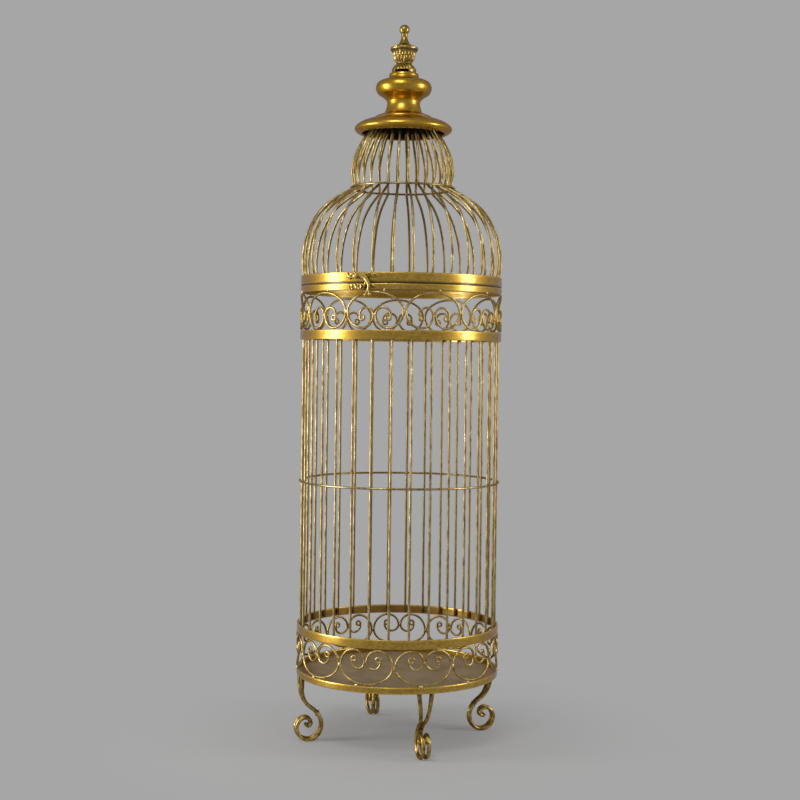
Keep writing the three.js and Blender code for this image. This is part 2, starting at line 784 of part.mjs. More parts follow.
function strap(shares, width) {
  const halfDepth = hookThickness / 2;
  const halfWidth = width / 2;
  const section = new THREE.Shape([
    new THREE.Vector2(-halfDepth, -halfWidth),
    new THREE.Vector2(halfDepth, -halfWidth),
    new THREE.Vector2(halfDepth, halfWidth),
    new THREE.Vector2(-halfDepth, halfWidth),
  ]);
  const extrudePath = new BentPath(shares.map(hookPoint), () => new THREE.Vector3(0, 1, 0));
  const steps = shares.length - 1;
  return new THREE.ExtrudeGeometry(section, { steps, bevelEnabled: false, extrudePath });
}

// A ball at the end of a strap, all of its extra depth to the front, clear of the plates
function hookBall(share) {
  const { x, y, z } = hookPoint(share);
  const proud = (hookBallDiameter - hookThickness) / 2;
  return new THREE.SphereGeometry(hookBallDiameter / 2, ballSegments, ballRings)
    .translate(x, y - proud, z);
}

function addHook() {
  const pivot = [pivotAside, hookMiddle, pivotZ];
  const eye = cylinderAlongY(hookEyeDiameter / 2, hookThickness, pivot);
  const eyeHole = cylinderAlongY(pivotDiameter / 2 + runningGap, hookThickness * 2, pivot);
  const straps = [
    strap(arcShares, hookArcWidth),
    strap(neckShares, hookNeckWidth),
    strap(tineShares, hookWidth),
    strap(secondTineShares, hookWidth),
    strap(clawShares, hookClawWidth),
  ];
  const balls = [tineShares, secondTineShares].map((shares) => hookBall(shares.at(-1)));
  place("latch_hook", cutBy(joined(eye, ...straps, ...balls), eyeHole), giltBright, hook);
}

addRings();
addBars();
addFriezes();
addLegs();
addDomeTop();
addHinge();
addFrontPlates();
addRivets();
addHook();

export default cage;
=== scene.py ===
from math import asin, atan2, copysign, cos, degrees, exp, hypot, pi, radians, remainder, sin, sqrt

import bmesh
import bpy
import numpy as np
from mathutils import Matrix, Vector, noise


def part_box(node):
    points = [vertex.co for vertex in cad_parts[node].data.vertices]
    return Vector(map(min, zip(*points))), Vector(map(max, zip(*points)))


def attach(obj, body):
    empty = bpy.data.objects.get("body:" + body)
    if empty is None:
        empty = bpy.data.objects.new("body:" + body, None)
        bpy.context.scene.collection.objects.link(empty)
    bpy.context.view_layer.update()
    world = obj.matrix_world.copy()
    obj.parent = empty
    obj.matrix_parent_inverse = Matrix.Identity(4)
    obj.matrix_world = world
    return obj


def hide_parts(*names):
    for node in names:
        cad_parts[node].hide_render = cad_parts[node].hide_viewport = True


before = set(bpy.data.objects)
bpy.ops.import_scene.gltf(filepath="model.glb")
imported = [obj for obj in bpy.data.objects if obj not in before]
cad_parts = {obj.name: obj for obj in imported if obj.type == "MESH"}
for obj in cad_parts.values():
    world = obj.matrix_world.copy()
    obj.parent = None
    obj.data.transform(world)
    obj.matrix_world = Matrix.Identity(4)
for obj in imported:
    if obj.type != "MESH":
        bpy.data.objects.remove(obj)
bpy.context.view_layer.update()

# A tall round bird cage of gilt steel rod and flat bar. Metres, +Z up, the hook on the -Y side.
# Turns are counted from -Y towards +X, as seen from above.
SCENE = bpy.context.scene
MM = 0.001

# Camera, fitted to the ellipses of the bands and to the upright of the cage
CAMERA_TURN = radians(21.7)
CAMERA_DISTANCE = 2.408
CAMERA_ROLL = radians(0.7)
EYE_HEIGHT = 0.623
LENS = 65.9
SENSOR_WIDTH = 36
SHIFT_ACROSS = -0.0007
SHIFT_UP = -0.055

# Stock that the cage is made of
CAGE_RADIUS = 165 * MM
BAND_THICKNESS = 3 * MM
BAND_INSIDE = CAGE_RADIUS - BAND_THICKNESS
BASE_RING_THICKNESS = 4 * MM
BAR_RADIUS = 2 * MM
HOOP_RADIUS = 1.7 * MM
DOME_WIRE_RADIUS = 2 * MM
NECK_HOOP_RADIUS = 1.7 * MM
FRIEZE_WIRE_RADIUS = 1.85 * MM
LEG_ROD_RADIUS = 3 * MM
JOINT_GAP = 0.3 * MM
BAR_COUNT = 32
MOTIF_COUNT = 11
LEG_COUNT = 4

# Marks in the grime colour: painted shade that covers all the gold, and a thin film of grime
FULL_SHADE = 1.5
FILM = 0.3


def mm(*values):
    return tuple(value * MM for value in values)


def turns(count):
    """The turns of evenly spaced points on a circle."""
    return [2 * pi * k / count for k in range(count)]


def on_cylinder(radius, turn, height):
    return np.array([radius * sin(turn), -radius * cos(turn), height])


def levels(node):
    low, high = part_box(node)
    return low.z, high.z


def ripple(point, scale, seed=0.0):
    """Smooth noise between about -1 and 1, for marks of hand work."""
    return noise.noise(Vector(point) * scale + Vector((seed, 2.3 * seed, -1.7 * seed)))


def add_to_scene(name, data):
    piece = bpy.data.objects.new(name, data)
    SCENE.collection.objects.link(piece)
    return piece


def bump_at(value, middle, half_width):
    return exp(-(((value - middle) / half_width) ** 2))


# Mesh building


class Shape:
    """Vertices and faces that several forms are added to, with their wear and painted highlights, and their
    grime and painted shade.
    """

    def __init__(self):
        self.points = []
        self.faces = []
        self.marks = []
        self.count = 0

    def add(self, points, faces, wear_and_highlight, grime_and_shade):
        self.points.append(np.asarray(points, float))
        self.faces += [[corner + self.count for corner in face] for face in faces]
        self.marks.append(np.column_stack([wear_and_highlight, grime_and_shade]))
        self.count += len(points)

    def add_rings(self, points, columns, wear_and_highlight=0.0, grime_and_shade=0.0, wrap=False):
        """Rings of points joined to a skin, with marks that are one value or one for each ring.

        A skin whose last ring doesn't join its first is closed by a face at each end."""
        rings = len(points) // columns
        faces = grid_faces(rings, columns, wrap)
        if not wrap:
            faces += [list(range(columns)), list(range(len(points) - columns, len(points)))]
        self.add(points, faces, for_rings(wear_and_highlight, rings, columns), for_rings(grime_and_shade, rings, columns))

    def made(self, name, material, body, slot, node, crease=40):
        """The finished piece, on its body and in place of its CAD node."""
        points = np.vstack(self.points)
        mesh = bpy.data.meshes.new(name)
        mesh.from_pydata(points.tolist(), [], self.faces)
        facing = bmesh.new()
        facing.from_mesh(mesh)
        bmesh.ops.recalc_face_normals(facing, faces=facing.faces)
        facing.to_mesh(mesh)
        facing.free()
        mesh.shade_smooth()
        mesh.set_sharp_from_angle(angle=radians(crease))
        marks = *np.vstack(self.marks).T, inward_share(mesh, points)
        for label, values in zip(("wear_and_highlight", "grime_and_shade", "inward"), marks):
            mesh.attributes.new(label, "FLOAT", "POINT").data.foreach_set("value", values)
        mesh.materials.append(MATERIALS[material])
        piece = add_to_scene(name, mesh)
        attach(piece, body)
        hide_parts(node)


def inward_share(mesh, points):
    """How far each point of the surface looks towards the cage's axis, from 0 to 1."""
    normals = np.zeros(len(points) * 3, np.float32)
    mesh.vertex_normals.foreach_get("vector", normals)
    outward = points * (1, 1, 0)
    outward /= np.maximum(np.linalg.norm(outward, axis=1), MM)[:, None]
    return np.clip(-(normals.reshape(-1, 3) * outward).sum(1), 0, 1)


def for_rings(values, rings, columns):
    return np.broadcast_to(np.asarray(values, float), rings).repeat(columns)


def grid_faces(rows, columns, wrap_rows=False, wrap_columns=True):
    faces = []
    for i in range(rows if wrap_rows else rows - 1):
        for j in range(columns if wrap_columns else columns - 1):
            a, b = i * columns, ((i + 1) % rows) * columns
            k = (j + 1) % columns
            faces.append([a + j, a + k, b + k, b + j])
    return faces


def smooth_line(points, steps):
    """A smooth line through the points, with the same number of steps between each two."""
    points = [np.asarray(p, float) for p in points]
    padded = [2 * points[0] - points[1], *points, 2 * points[-1] - points[-2]]
    line = []
    for p0, p1, p2, p3 in zip(padded, padded[1:], padded[2:], padded[3:]):
        before, span, after = (np.linalg.norm(step) for step in (p1 - p0, p2 - p1, p3 - p2))
        m1 = ((p1 - p0) / before * span + (p2 - p1)) / 2
        m2 = ((p2 - p1) + (p3 - p2) / after * span) / 2
        bend = 2 * (p1 - p2) + m1 + m2
        for t in np.arange(steps) / steps:
            line.append(p1 + t * (m1 + t * (p2 - p1 - m1 + (t - 1) * bend)))
    line.append(points[-1])
    return np.array(line)


def stretches(tables, steps):
    """Smooth lines end to end: each starts at the last point before it, which is a crease."""
    line = []
    for before, table in zip(tables, tables[1:]):
        line.extend(smooth_line([before[-1], *table], steps if len(table) > 1 else 1))
    return np.array(line)


def arc_chain(arcs, step):
    """Points on a chain of elliptical arcs, each given by its middle, its half widths, and the
    angles where it starts and ends."""
    points = []
    for across, up, half_across, half_up, start, end in arcs:
        count = max(2, round(abs(end - start) / step))
        for k in range(1 if points else 0, count + 1):
            angle = radians(start + (end - start) * k / count)
            points.append((across + half_across * cos(angle), up + half_up * sin(angle)))
    return points


def frames_along(path, closed):
    if closed:
        tangents = np.roll(path, -1, 0) - np.roll(path, 1, 0)
    else:
        tangents = np.gradient(path, axis=0)
    tangents /= np.linalg.norm(tangents, axis=1)[:, None]
    normal = np.array([0.0, 0.0, 1.0] if abs(tangents[0][2]) < 0.9 else [1.0, 0.0, 0.0])
    normals = []
    for tangent in tangents:
        normal = normal - tangent * normal.dot(tangent)
        normal = normal / np.linalg.norm(normal)
        normals.append(normal)
    return tangents, normals, np.cross(tangents, normals)


def add_tube(shape, path, radius, lumps, lump_scale, seed, sides=12, closed=False, round_ends=True,
             grime_and_shade=0.0):
    """A hand-drawn rod along a path. The radius and the grime, with any painted shade, are one value or one
    for each point.
    """
    path = np.asarray(path, float)
    count = len(path)
    radii = np.broadcast_to(np.asarray(radius, float), count)
    tangents, normals, binormals = frames_along(path, closed)
    angles = turns(sides)
    rings = []
    for centre, r, normal, binormal in zip(path, radii, normals, binormals):
        arms = np.outer(np.cos(angles), normal) + np.outer(np.sin(angles), binormal)
        reach = [r * (1 + lumps * ripple(centre + r * arm, lump_scale, seed)) for arm in arms]
        rings.append(centre + arms * np.array(reach)[:, None])
    points = np.vstack(rings)
    if closed:
        shape.add_rings(points, sides, wrap=True)
        return
    faces = grid_faces(count, sides)
    soil_and_shade = for_rings(grime_and_shade, count, sides)
    end_ring, rounding = (0.72, 0.5) if round_ends else (0.8, 0.0)
    for end, tangent in ((0, -tangents[0]), (count - 1, tangents[-1])):
        centre = path[end]
        depth = rounding * radii[end]
        base, first = end * sides, len(points)
        inner = centre + (rings[end] - centre) * end_ring + tangent * depth * 0.7
        points = np.vstack([points, inner, centre + tangent * depth])
        soil_and_shade = np.append(soil_and_shade, np.full(sides + 1, soil_and_shade[base]))
        for j in range(sides):
            k = (j + 1) % sides
            quad = [base + j, base + k, first + k, first + j]
            cap = [first + j, first + k, first + sides]
            faces += [quad[::-1], cap[::-1]] if end == 0 else [quad, cap]
    shape.add(points, faces, np.zeros(len(points)), soil_and_shade)


def add_bead(shape, centre, radii, turn, seed, wear_and_highlight, grime_and_shade, rows=7, unevenness=0.16):
    """A small uneven drop of braze. Its first radius lies across the turn's direction."""
    columns = 10 * rows // 7
    c, s = cos(turn), sin(turn)
    points = []
    for i in reversed(range(rows)):
        tilt = pi * (i + 0.5) / rows
        for angle in turns(columns):
            p = np.array([sin(tilt) * cos(angle), sin(tilt) * sin(angle), cos(tilt)])
            p = p * radii * (1 + unevenness * ripple(p + centre * 400, 1.3, seed))
            points.append(centre + np.array([p[0] * c - p[1] * s, p[0] * s + p[1] * c, p[2]]))
    shape.add_rings(points, columns, wear_and_highlight, grime_and_shade)


def add_turning(shape, profile, segments, wear_and_highlight=0.0, grime_and_shade=0.0, warp=None, wrap=False):
    """A profile of radius and height turned round the cage's axis."""
    points = []
    for radius, height in profile:
        for turn in turns(segments):
            r, z = warp(turn, radius, height) if warp else (radius, height)
            points.append(on_cylinder(r, turn, z))
    shape.add_rings(points, segments, wear_and_highlight, grime_and_shade, wrap)


def add_button(shape, centre, profile, forward, segments, wear_and_highlight, grime_and_shade, wrap=False):
    """A small turned form about a level line: its profile is radius and distance forward."""
    across = np.cross(forward, (0, 0, 1))
    up = np.cross(across, forward)
    points = []
    for radius, reach in profile:
        for angle in turns(segments):
            arm = cos(angle) * across + sin(angle) * up
            points.append(centre + radius * arm + reach * np.asarray(forward))
    shape.add_rings(points, segments, wear_and_highlight, grime_and_shade, wrap)


# Materials

# The sprayed gold is thin on the faces that look inward, where the dark bronze under it shows. It
# stays golden where it is seen edge on
INNER_TINT = (1.0, 0.95, 0.8)
EDGE_TINT = (0.5, 0.32, 0.07)
# Dark colour of grime, which also paints shade in hollows, gaps, holes and along lower edges
GRIME_AND_SHADE = (0.028, 0.016, 0.005)
PATCH_SCALE = 75
STREAK_SCALE = 330
GRAIN_SCALE = 1150
STAIN_SCALE = 22
DUST_SCALE = 900


def feed(tree, node, inputs):
    """Links a node's inputs to other nodes, or sets them to plain values."""
    for key, value in inputs.items():
        if isinstance(value, bpy.types.NodeSocket):
            tree.links.new(value, node.inputs[key])
        else:
            node.inputs[key].default_value = value


def shader_node(tree, kind, inputs=None, **settings):
    made = tree.nodes.new("ShaderNode" + kind)
    for key, value in settings.items():
        setattr(made, key, value)
    feed(tree, made, inputs or {})
    return made


def ramp(tree, source, stops):
    made = shader_node(tree, "ValToRGB", {"Fac": source})
    elements = made.color_ramp.elements
    for _ in stops[2:]:
        elements.new(0.5)
    for element, (place, colour) in zip(elements, stops):
        element.position = place
        element.color = (*colour, 1)
    return made.outputs["Color"]


def laid_over(tree, share, under, colour):
    inputs = {0: share, 6: under, 7: (*colour, 1)}
    return shader_node(tree, "Mix", inputs, data_type="RGBA").outputs[2]


def calculate(tree, operation, first, second, clamp=False):
    inputs = {0: first, 1: second}
    return shader_node(tree, "Math", inputs, operation=operation, use_clamp=clamp).outputs[0]


def blend(tree, first, second, share):
    return calculate(tree, "ADD", calculate(tree, "MULTIPLY", first, 1 - share),
                     calculate(tree, "MULTIPLY", second, share))


def noise_at(tree, place, scale, detail, rough=0.55):
    inputs = {"Vector": place, "Scale": scale, "Detail": detail, "Roughness": rough}
    return shader_node(tree, "TexNoise", inputs).outputs["Fac"]


def spread(tree, source, low, high, to_low, to_high):
    inputs = {"Value": source, "From Min": low, "From Max": high, "To Min": to_low, "To Max": to_high}
    return shader_node(tree, "MapRange", inputs).outputs["Result"]


def bumped(tree, height, strength, distance):
    inputs = {"Strength": strength, "Distance": distance, "Height": height}
    return shader_node(tree, "Bump", inputs).outputs["Normal"]


def mark(tree, label):
    return shader_node(tree, "Attribute", attribute_name=label).outputs["Fac"]


def tinted(colour, factor):
    return tuple(factor * part for part in colour)


def new_material(name):
    material = bpy.data.materials.new(name)
    material.use_nodes = True
    tree = material.node_tree
    place = shader_node(tree, "TexCoord").outputs["Object"]
    return material, tree, tree.nodes["Principled BSDF"], place


def gilt(name, dark, middle, light, roughness, speckle, dent, inner_shade, stretch, coat,
         coat_roughness):
    """Antique gold: patches of darker and lighter leaf, rubbed edges and painted highlights in lighter
    leaf, grime in the corners and painted shade in the grime's dark colour.
    """
    material, tree, shader, place = new_material(name)
    stretched = shader_node(tree, "Mapping", {"Vector": place, "Scale": stretch}).outputs["Vector"]
    patches = noise_at(tree, place, PATCH_SCALE, 5)
    streaks = noise_at(tree, stretched, STREAK_SCALE, 4)
    grains = noise_at(tree, place, GRAIN_SCALE, 3, 0.65)

    mottle = blend(tree, patches, streaks, 0.5)
    colour = ramp(tree, mottle, [(0.38, dark), (0.5, middle), (0.62, light)])
    flecks = spread(tree, grains, 0.54, 0.68, 0.0, speckle)
    colour = laid_over(tree, flecks, colour, tinted(dark, 0.5))
    uneven = spread(tree, streaks, 0.35, 0.6, 0.35, 1.0)
    # The wear mark lightens the leaf: real wear on edges, and a painted highlight round the finial's lip
    worn = calculate(tree, "MULTIPLY", mark(tree, "wear_and_highlight"), uneven, True)
    colour = laid_over(tree, worn, colour, tinted(light, 1.2))
    shaded = calculate(tree, "MULTIPLY", mark(tree, "inward"), inner_shade)
    colour = laid_over(tree, shaded, colour, [INNER_TINT[i] * dark[i] for i in range(3)])
    # The grime mark darkens towards the grime colour: real grime at joints, and painted shade in hollows,
    # gaps, holes, round the hook and along lower edges
    patchy = spread(tree, patches, 0.3, 0.6, 0.7, 1.0)
    dirt_and_shade = calculate(tree, "MULTIPLY", mark(tree, "grime_and_shade"), patchy, True)
    colour = laid_over(tree, dirt_and_shade, colour, GRIME_AND_SHADE)

    rough = spread(tree, mottle, 0.36, 0.62, roughness[1], roughness[0])
    dulled = calculate(tree, "MULTIPLY", dirt_and_shade, 0.25)
    feed(tree, shader, {
        "Base Color": colour,
        "Roughness": calculate(tree, "ADD", rough, dulled, True),
        "Normal": bumped(tree, blend(tree, streaks, grains, 0.3), 0.6, dent * MM),
        "Metallic": 1.0,
        "Specular Tint": (*EDGE_TINT, 1),
        "Coat Weight": coat,
        "Coat Roughness": coat_roughness,
    })
    return material


def coated(name, dark, light, roughness, shine):
    """Matt paint on sheet steel, with dust, scuffs and faint stains. It also paints the near-black shade
    inside the crown.
    """
    material, tree, shader, place = new_material(name)
    stains_and_shadows = noise_at(tree, place, STAIN_SCALE, 6, 0.6)
    dust = noise_at(tree, place, DUST_SCALE, 3, 0.6)
    colour = ramp(tree, stains_and_shadows, [(0.32, dark), (0.66, light)])
    feed(tree, shader, {
        "Base Color": laid_over(tree, spread(tree, dust, 0.5, 0.72, 0.0, 0.5), colour, tinted(light, 1.35)),
        "Roughness": spread(tree, stains_and_shadows, 0.3, 0.7, roughness[1], roughness[0]),
        "Normal": bumped(tree, dust, 0.3, 0.3 * MM),
        "Specular IOR Level": shine,
    })
    return material


# Each gilt: dark, middle and light leaf, roughness of the smoothest and of the roughest leaf,
# speckle, dents in millimetres, shade of the inner faces, stretch of the streaks, weight and
# roughness of the lacquer
GILTS = {
    "gilt_rod": ((0.2, 0.13, 0.032), (0.43, 0.31, 0.125), (0.64, 0.52, 0.28),
                 (0.26, 0.4), 0.75, 0.1, 0.7, (1, 1, 0.2), 0.35, 0.2),
    "gilt_dome_wire": ((0.15, 0.095, 0.018), (0.39, 0.275, 0.09), (0.6, 0.47, 0.23),
                       (0.26, 0.4), 0.7, 0.1, 0.8, (1, 1, 0.3), 0.35, 0.2),
    "gilt_flat_bar": ((0.37, 0.2, 0.009), (0.48, 0.284, 0.02), (0.6, 0.385, 0.06),
                      (0.28, 0.4), 0.3, 0.05, 0.1, (0.5, 0.5, 1), 1, 0.23),
    "gilt_frieze": ((0.24, 0.145, 0.026), (0.47, 0.33, 0.1), (0.68, 0.53, 0.26),
                    (0.28, 0.42), 0.6, 0.12, 0.75, (1, 1, 1), 0.3, 0.2),
    "gilt_leg": ((0.15, 0.085, 0.014), (0.43, 0.285, 0.06), (0.72, 0.54, 0.21),
                 (0.28, 0.44), 0.7, 0.16, 0.4, (1, 1, 0.6), 0.2, 0.2),
    "gilt_turned": ((0.39, 0.208, 0.009), (0.46, 0.268, 0.017), (0.54, 0.335, 0.045),
                    (0.29, 0.37), 0.15, 0.02, 0.5, (1, 1, 1), 0.45, 0.13),
    "gilt_cast": ((0.24, 0.145, 0.015), (0.34, 0.222, 0.036), (0.44, 0.31, 0.09),
                  (0.3, 0.38), 0.1, 0.015, 0.5, (1, 1, 1), 0.45, 0.18),
    "gilt_fitting": ((0.24, 0.14, 0.02), (0.48, 0.3, 0.06), (0.74, 0.53, 0.18),
                     (0.24, 0.36), 0.3, 0.05, 0.5, (1, 1, 1), 0.2, 0.2),
}
MATERIALS = {name: gilt(name, *values) for name, values in GILTS.items()}
MATERIALS["floor_coat"] = coated("floor_coat", (0.17, 0.115, 0.055), (0.26, 0.185, 0.1), (0.62, 0.8), 0.4)
# Near black and without shine: the top plate, tie rod and nut inside the crown are painted as the shade in
# its hollow
SHADE_BLACK_STEEL = coated("shade_black_steel", (0.006, 0.0035, 0.0015), (0.014, 0.008, 0.004), (0.85, 0.95), 0)


# Flat bar: rings, bands and rims

# Each ring: its body, its thickness, its rounded edges and the painted shade on its lower outer edge
FLAT_RINGS = {
    "base_ring": ("cage_body", BASE_RING_THICKNESS, 1.3 * MM, 0.0),
    "lower_band": ("cage_body", BAND_THICKNESS, 0.7 * MM, 0.2),
    "upper_band": ("cage_body", BAND_THICKNESS, 0.7 * MM, 0.3),
    "body_rim": ("cage_body", BAND_THICKNESS, 0.9 * MM, 0.7),
    "dome_rim": ("dome", BAND_THICKNESS, 0.9 * MM, 0.8),
}
RING_SEGMENTS = 240
RING_SIDE_ROWS = 5
RING_CORNER_STEPS = 3
RING_DENT = 0.12 * MM
RING_WAVE = 0.15 * MM
RING_INNER_SOIL = 0.35
SEAM_WELD_RISE = 0.5 * MM
SEAM_WELD_REACH = 1.2 * MM

# Section of the thin lip brazed inside the dome's rim, which covers the seam from behind: radius,
# height above the rim's lower edge, and painted shade, which lies on its outer side and darkens the seam
# seen through the gap
SEAM_LIP = [
    (160.7, -2.6, 0.2), (161.4, -2.6, 0.9), (161.5, 0.5, 0.9), (162.2, 1.2, 0.9), (162.2, 1.9, 0.9),
    (160.9, 1.9, 0.1),
]


def add_flat_ring(shape, bottom, top, inner, bevel, painted_shade, seed, seam_turn):
    """A hoop of flat bar with rounded edges, slightly uneven, welded shut at its seam."""
    outer = CAGE_RADIUS
    section = []

    def corner(radius, height, start, dark=0.0):
        for k in range(RING_CORNER_STEPS + 1):
            angle = start + pi / 2 * k / RING_CORNER_STEPS
            section.append((radius + bevel * cos(angle), height + bevel * sin(angle), 1 - dark, dark))

    def side(radius, low, high, dark=0.0):
        for k in range(1, RING_SIDE_ROWS):
            section.append((radius, low + (high - low) * k / RING_SIDE_ROWS, 0, dark))

    # Painted shade along the lower outer edge, darkest on the rims beside the seam
    corner(outer - bevel, bottom + bevel, -pi / 2, painted_shade)
    side(outer, bottom + bevel, top - bevel)
    corner(outer - bevel, top - bevel, 0)
    corner(inner + bevel, top - bevel, pi / 2)
    side(inner, top - bevel, bottom + bevel, RING_INNER_SOIL)
    corner(inner + bevel, bottom + bevel, pi)

    def warp(turn, radius, height):
        around = on_cylinder(outer, turn, height)
        dent = RING_DENT * (ripple(around, 45, seed) + 0.5 * ripple(around, 170, seed + 5) - 0.9)
        aside = remainder(turn - seam_turn, 2 * pi) * outer
        weld = SEAM_WELD_RISE * bump_at(aside, 0, SEAM_WELD_REACH) * (0.7 + ripple(around, 400, seed))
        wave = RING_WAVE * ripple(around, 12, seed + 9)
        return radius + dent + (weld if radius > (inner + outer) / 2 else 0), height + wave

    radii, heights, wear_and_highlight, grime_and_shade = zip(*section)
    add_turning(shape, zip(radii, heights), RING_SEGMENTS, wear_and_highlight, grime_and_shade, warp, wrap=True)


def add_seam_lip(shape, bottom):
    section = [(radius * MM, bottom + rise * MM) for radius, rise, _ in SEAM_LIP]
    add_turning(shape, section, RING_SEGMENTS, 0, [painted_shade for _, _, painted_shade in SEAM_LIP], wrap=True)


def build_flat_rings():
    for k, (node, (body, thickness, bevel, painted_shade)) in enumerate(FLAT_RINGS.items()):
        shape = Shape()
        bottom, top = levels(node)
        add_flat_ring(shape, bottom, top, CAGE_RADIUS - thickness, bevel, painted_shade, 3.1 * k,
                      radians(150 + 37 * k))
        if node == "dome_rim":
            add_seam_lip(shape, bottom)
        shape.made(f"{node}_bar", "gilt_flat_bar", body, "gilt_flat_bar", node)


# Bars and hoops. The half widths of each bead of braze are given along the ring, out and up

BAR_STEPS = 56
BAR_BOW = 0.3 * MM
BAR_BEAD = mm(2, 1.1, 1.6)
BAR_BEAD_INSETS = mm(2.2, 8)  # from each end of a bar
BAR_BEAD_SHIFT = 1.5 * MM
HOOP_SEGMENTS = 240
HOOP_WAVE = 0.9 * MM
HOOP_SEED = 3
HOOP_BEAD = mm(2.4, 1.3, 1.5)


def bar_place(k):
    """Turn and distance from the axis of an upright bar."""
    low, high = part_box(f"bar_{k + 1:02d}")
    middle = (low + high) / 2
    return atan2(middle.x, -middle.y), hypot(middle.x, middle.y)


def build_bars():
    near, far = BAR_BEAD_INSETS
    for k in range(BAR_COUNT):
        node = f"bar_{k + 1:02d}"
        bottom, top = levels(node)
        turn, out = bar_place(k)
        shape = Shape()
        path = []
        soil_and_shade = []
        for share in np.arange(BAR_STEPS + 1) / BAR_STEPS:
            bow = BAR_BOW * sin(pi * share) ** 0.5
            aside = bow * ripple((k * 3.7, share * 2.2, 0.4), 1.0, 2)
            inward = bow * ripple((k * 5.1, share * 2.6, 7.7), 1.0, 4)
            path.append(on_cylinder(out + inward, turn + aside / out, bottom + (top - bottom) * share))
            soil_and_shade.append(0 if 0.02 <= share <= 0.98 else FILM)
        add_tube(shape, path, BAR_RADIUS, 0.035, 300, k * 1.3, grime_and_shade=soil_and_shade)
        for height in (bottom + near, bottom + far, top - far, top - near):
            side = BAR_BEAD_SHIFT * ripple((k, height * 90, 3), 1.7)
            place = on_cylinder(BAND_INSIDE - BAR_BEAD[1], turn + side / out, height)
            add_bead(shape, place, BAR_BEAD, turn, k + height * 50, 0, 0.55)
        shape.made(f"{node}_rod", "gilt_rod", "cage_body", "gilt_rod", node)


def wave_at(turn, wave, seed):
    return wave * ripple(on_cylinder(1, turn, 0), 1.6, seed)


def circle(radius, height, segments, wave, seed):
    return [on_cylinder(radius, turn, height + wave_at(turn, wave, seed)) for turn in turns(segments)]


def build_mid_hoop():
    shape = Shape()
    height = sum(levels("mid_hoop")) / 2
    out = bar_place(0)[1] + BAR_RADIUS + HOOP_RADIUS
    path = circle(out, height, HOOP_SEGMENTS, HOOP_WAVE, HOOP_SEED)
    add_tube(shape, path, HOOP_RADIUS, 0.06, 300, 8, closed=True)
    for k in range(BAR_COUNT):
        turn = bar_place(k)[0]
        place = on_cylinder(out - HOOP_RADIUS, turn, height + wave_at(turn, HOOP_WAVE, HOOP_SEED))
        add_bead(shape, place, HOOP_BEAD, turn, k, 0.5, 0.2)
    shape.made("mid_hoop_wire", "gilt_rod", "cage_body", "gilt_rod", "mid_hoop")


# Friezes of bent wire

FRIEZE_INSET = 1.6 * MM  # of the wire's middle line from the outside of the bands
FRIEZE_ARC_STEP = 9
FRIEZE_SHAKE = 0.5 * MM
FRIEZE_TIP_SHARE = 0.76  # of the wire's radius, at the tips of its curls
CURL_BRAZE = mm(2.4, 2, 2.8)
JOINT_BRAZE = mm(2.9, 2.4, 3.6)
RING_WELD = mm(2.6, 1.7, 1.5)

# Half of a scroll motif: shares of its half width and of the height of the wire's middle line
SHOULDER_SHARE = 0.46
NECK_REACH_SHARE = 0.42
CURL_MIDDLE_SHARE = 0.295
CURL_REACH_SHARE = 0.255
CURL_DEPTH_SHARE = 0.21
TIP_MIDDLE_SHARES = (0.465, 0.075)
TIP_REACH_SHARES = (0.085, 0.07)

# Each frieze. Its shifts are how far round its joints sit from their even places, in degrees. Its
# nubs are the welds to the ring beyond the motifs' wide end, placed as shares of the half width
FRIEZES = {
    "lower_frieze": dict(
        seed=1.0, upside_down=False, first_turn=radians(20.3), widest=0.51, curl_level=0.66,
        shifts=(-0.1, 0.6, 0.2, -0.3, 0.1, -0.2, 0.3, -0.1, 0.2, 0.3, 1.2),
        nubs=(-0.12, -0.35, 0.1, -0.2, 0.15, -0.1, 0.2, -0.25, 0.05, -0.19, -0.33),
        nub_radii=mm(3, 1.9, 2.4), nub_beyond=0.1 * MM, nub_out=0.8 * MM,
    ),
    "upper_frieze": dict(
        seed=6.0, upside_down=True, first_turn=radians(23.6), widest=0.54, curl_level=0.635,
        shifts=(0.1, -0.2, 0.2, 0.1, -0.3, 0.2, -0.1, 0.3, -0.2, 0.1, -0.1),
        nubs=(0.2, 0.28, -0.1, 0.15, 0.0, 0.25, -0.15, 0.1, 0.2, 0.2, 0.34),
        nub_radii=mm(1.5, 1.4, 2.4), nub_beyond=1.3 * MM, nub_out=1.1 * MM,
    ),
}


def motif_half(curl_growth, widest, curl_level):
    """The half motif, with its inner curl a little larger or smaller than drawn."""
    reach = CURL_REACH_SHARE * curl_growth
    added = reach - CURL_REACH_SHARE
    tip_across, tip_up = TIP_MIDDLE_SHARES
    return arc_chain([
        (0, widest, 1, widest, -90, 0),
        (SHOULDER_SHARE, widest, 1 - SHOULDER_SHARE, 1 - widest, 0, 90),
        (SHOULDER_SHARE, curl_level, NECK_REACH_SHARE, 1 - curl_level, 90, 180),
        (CURL_MIDDLE_SHARE + added, curl_level, reach, CURL_DEPTH_SHARE, 180, 360),
        (tip_across + 2 * added, curl_level + tip_up, *TIP_REACH_SHARES, 0, 330),
    ], FRIEZE_ARC_STEP)


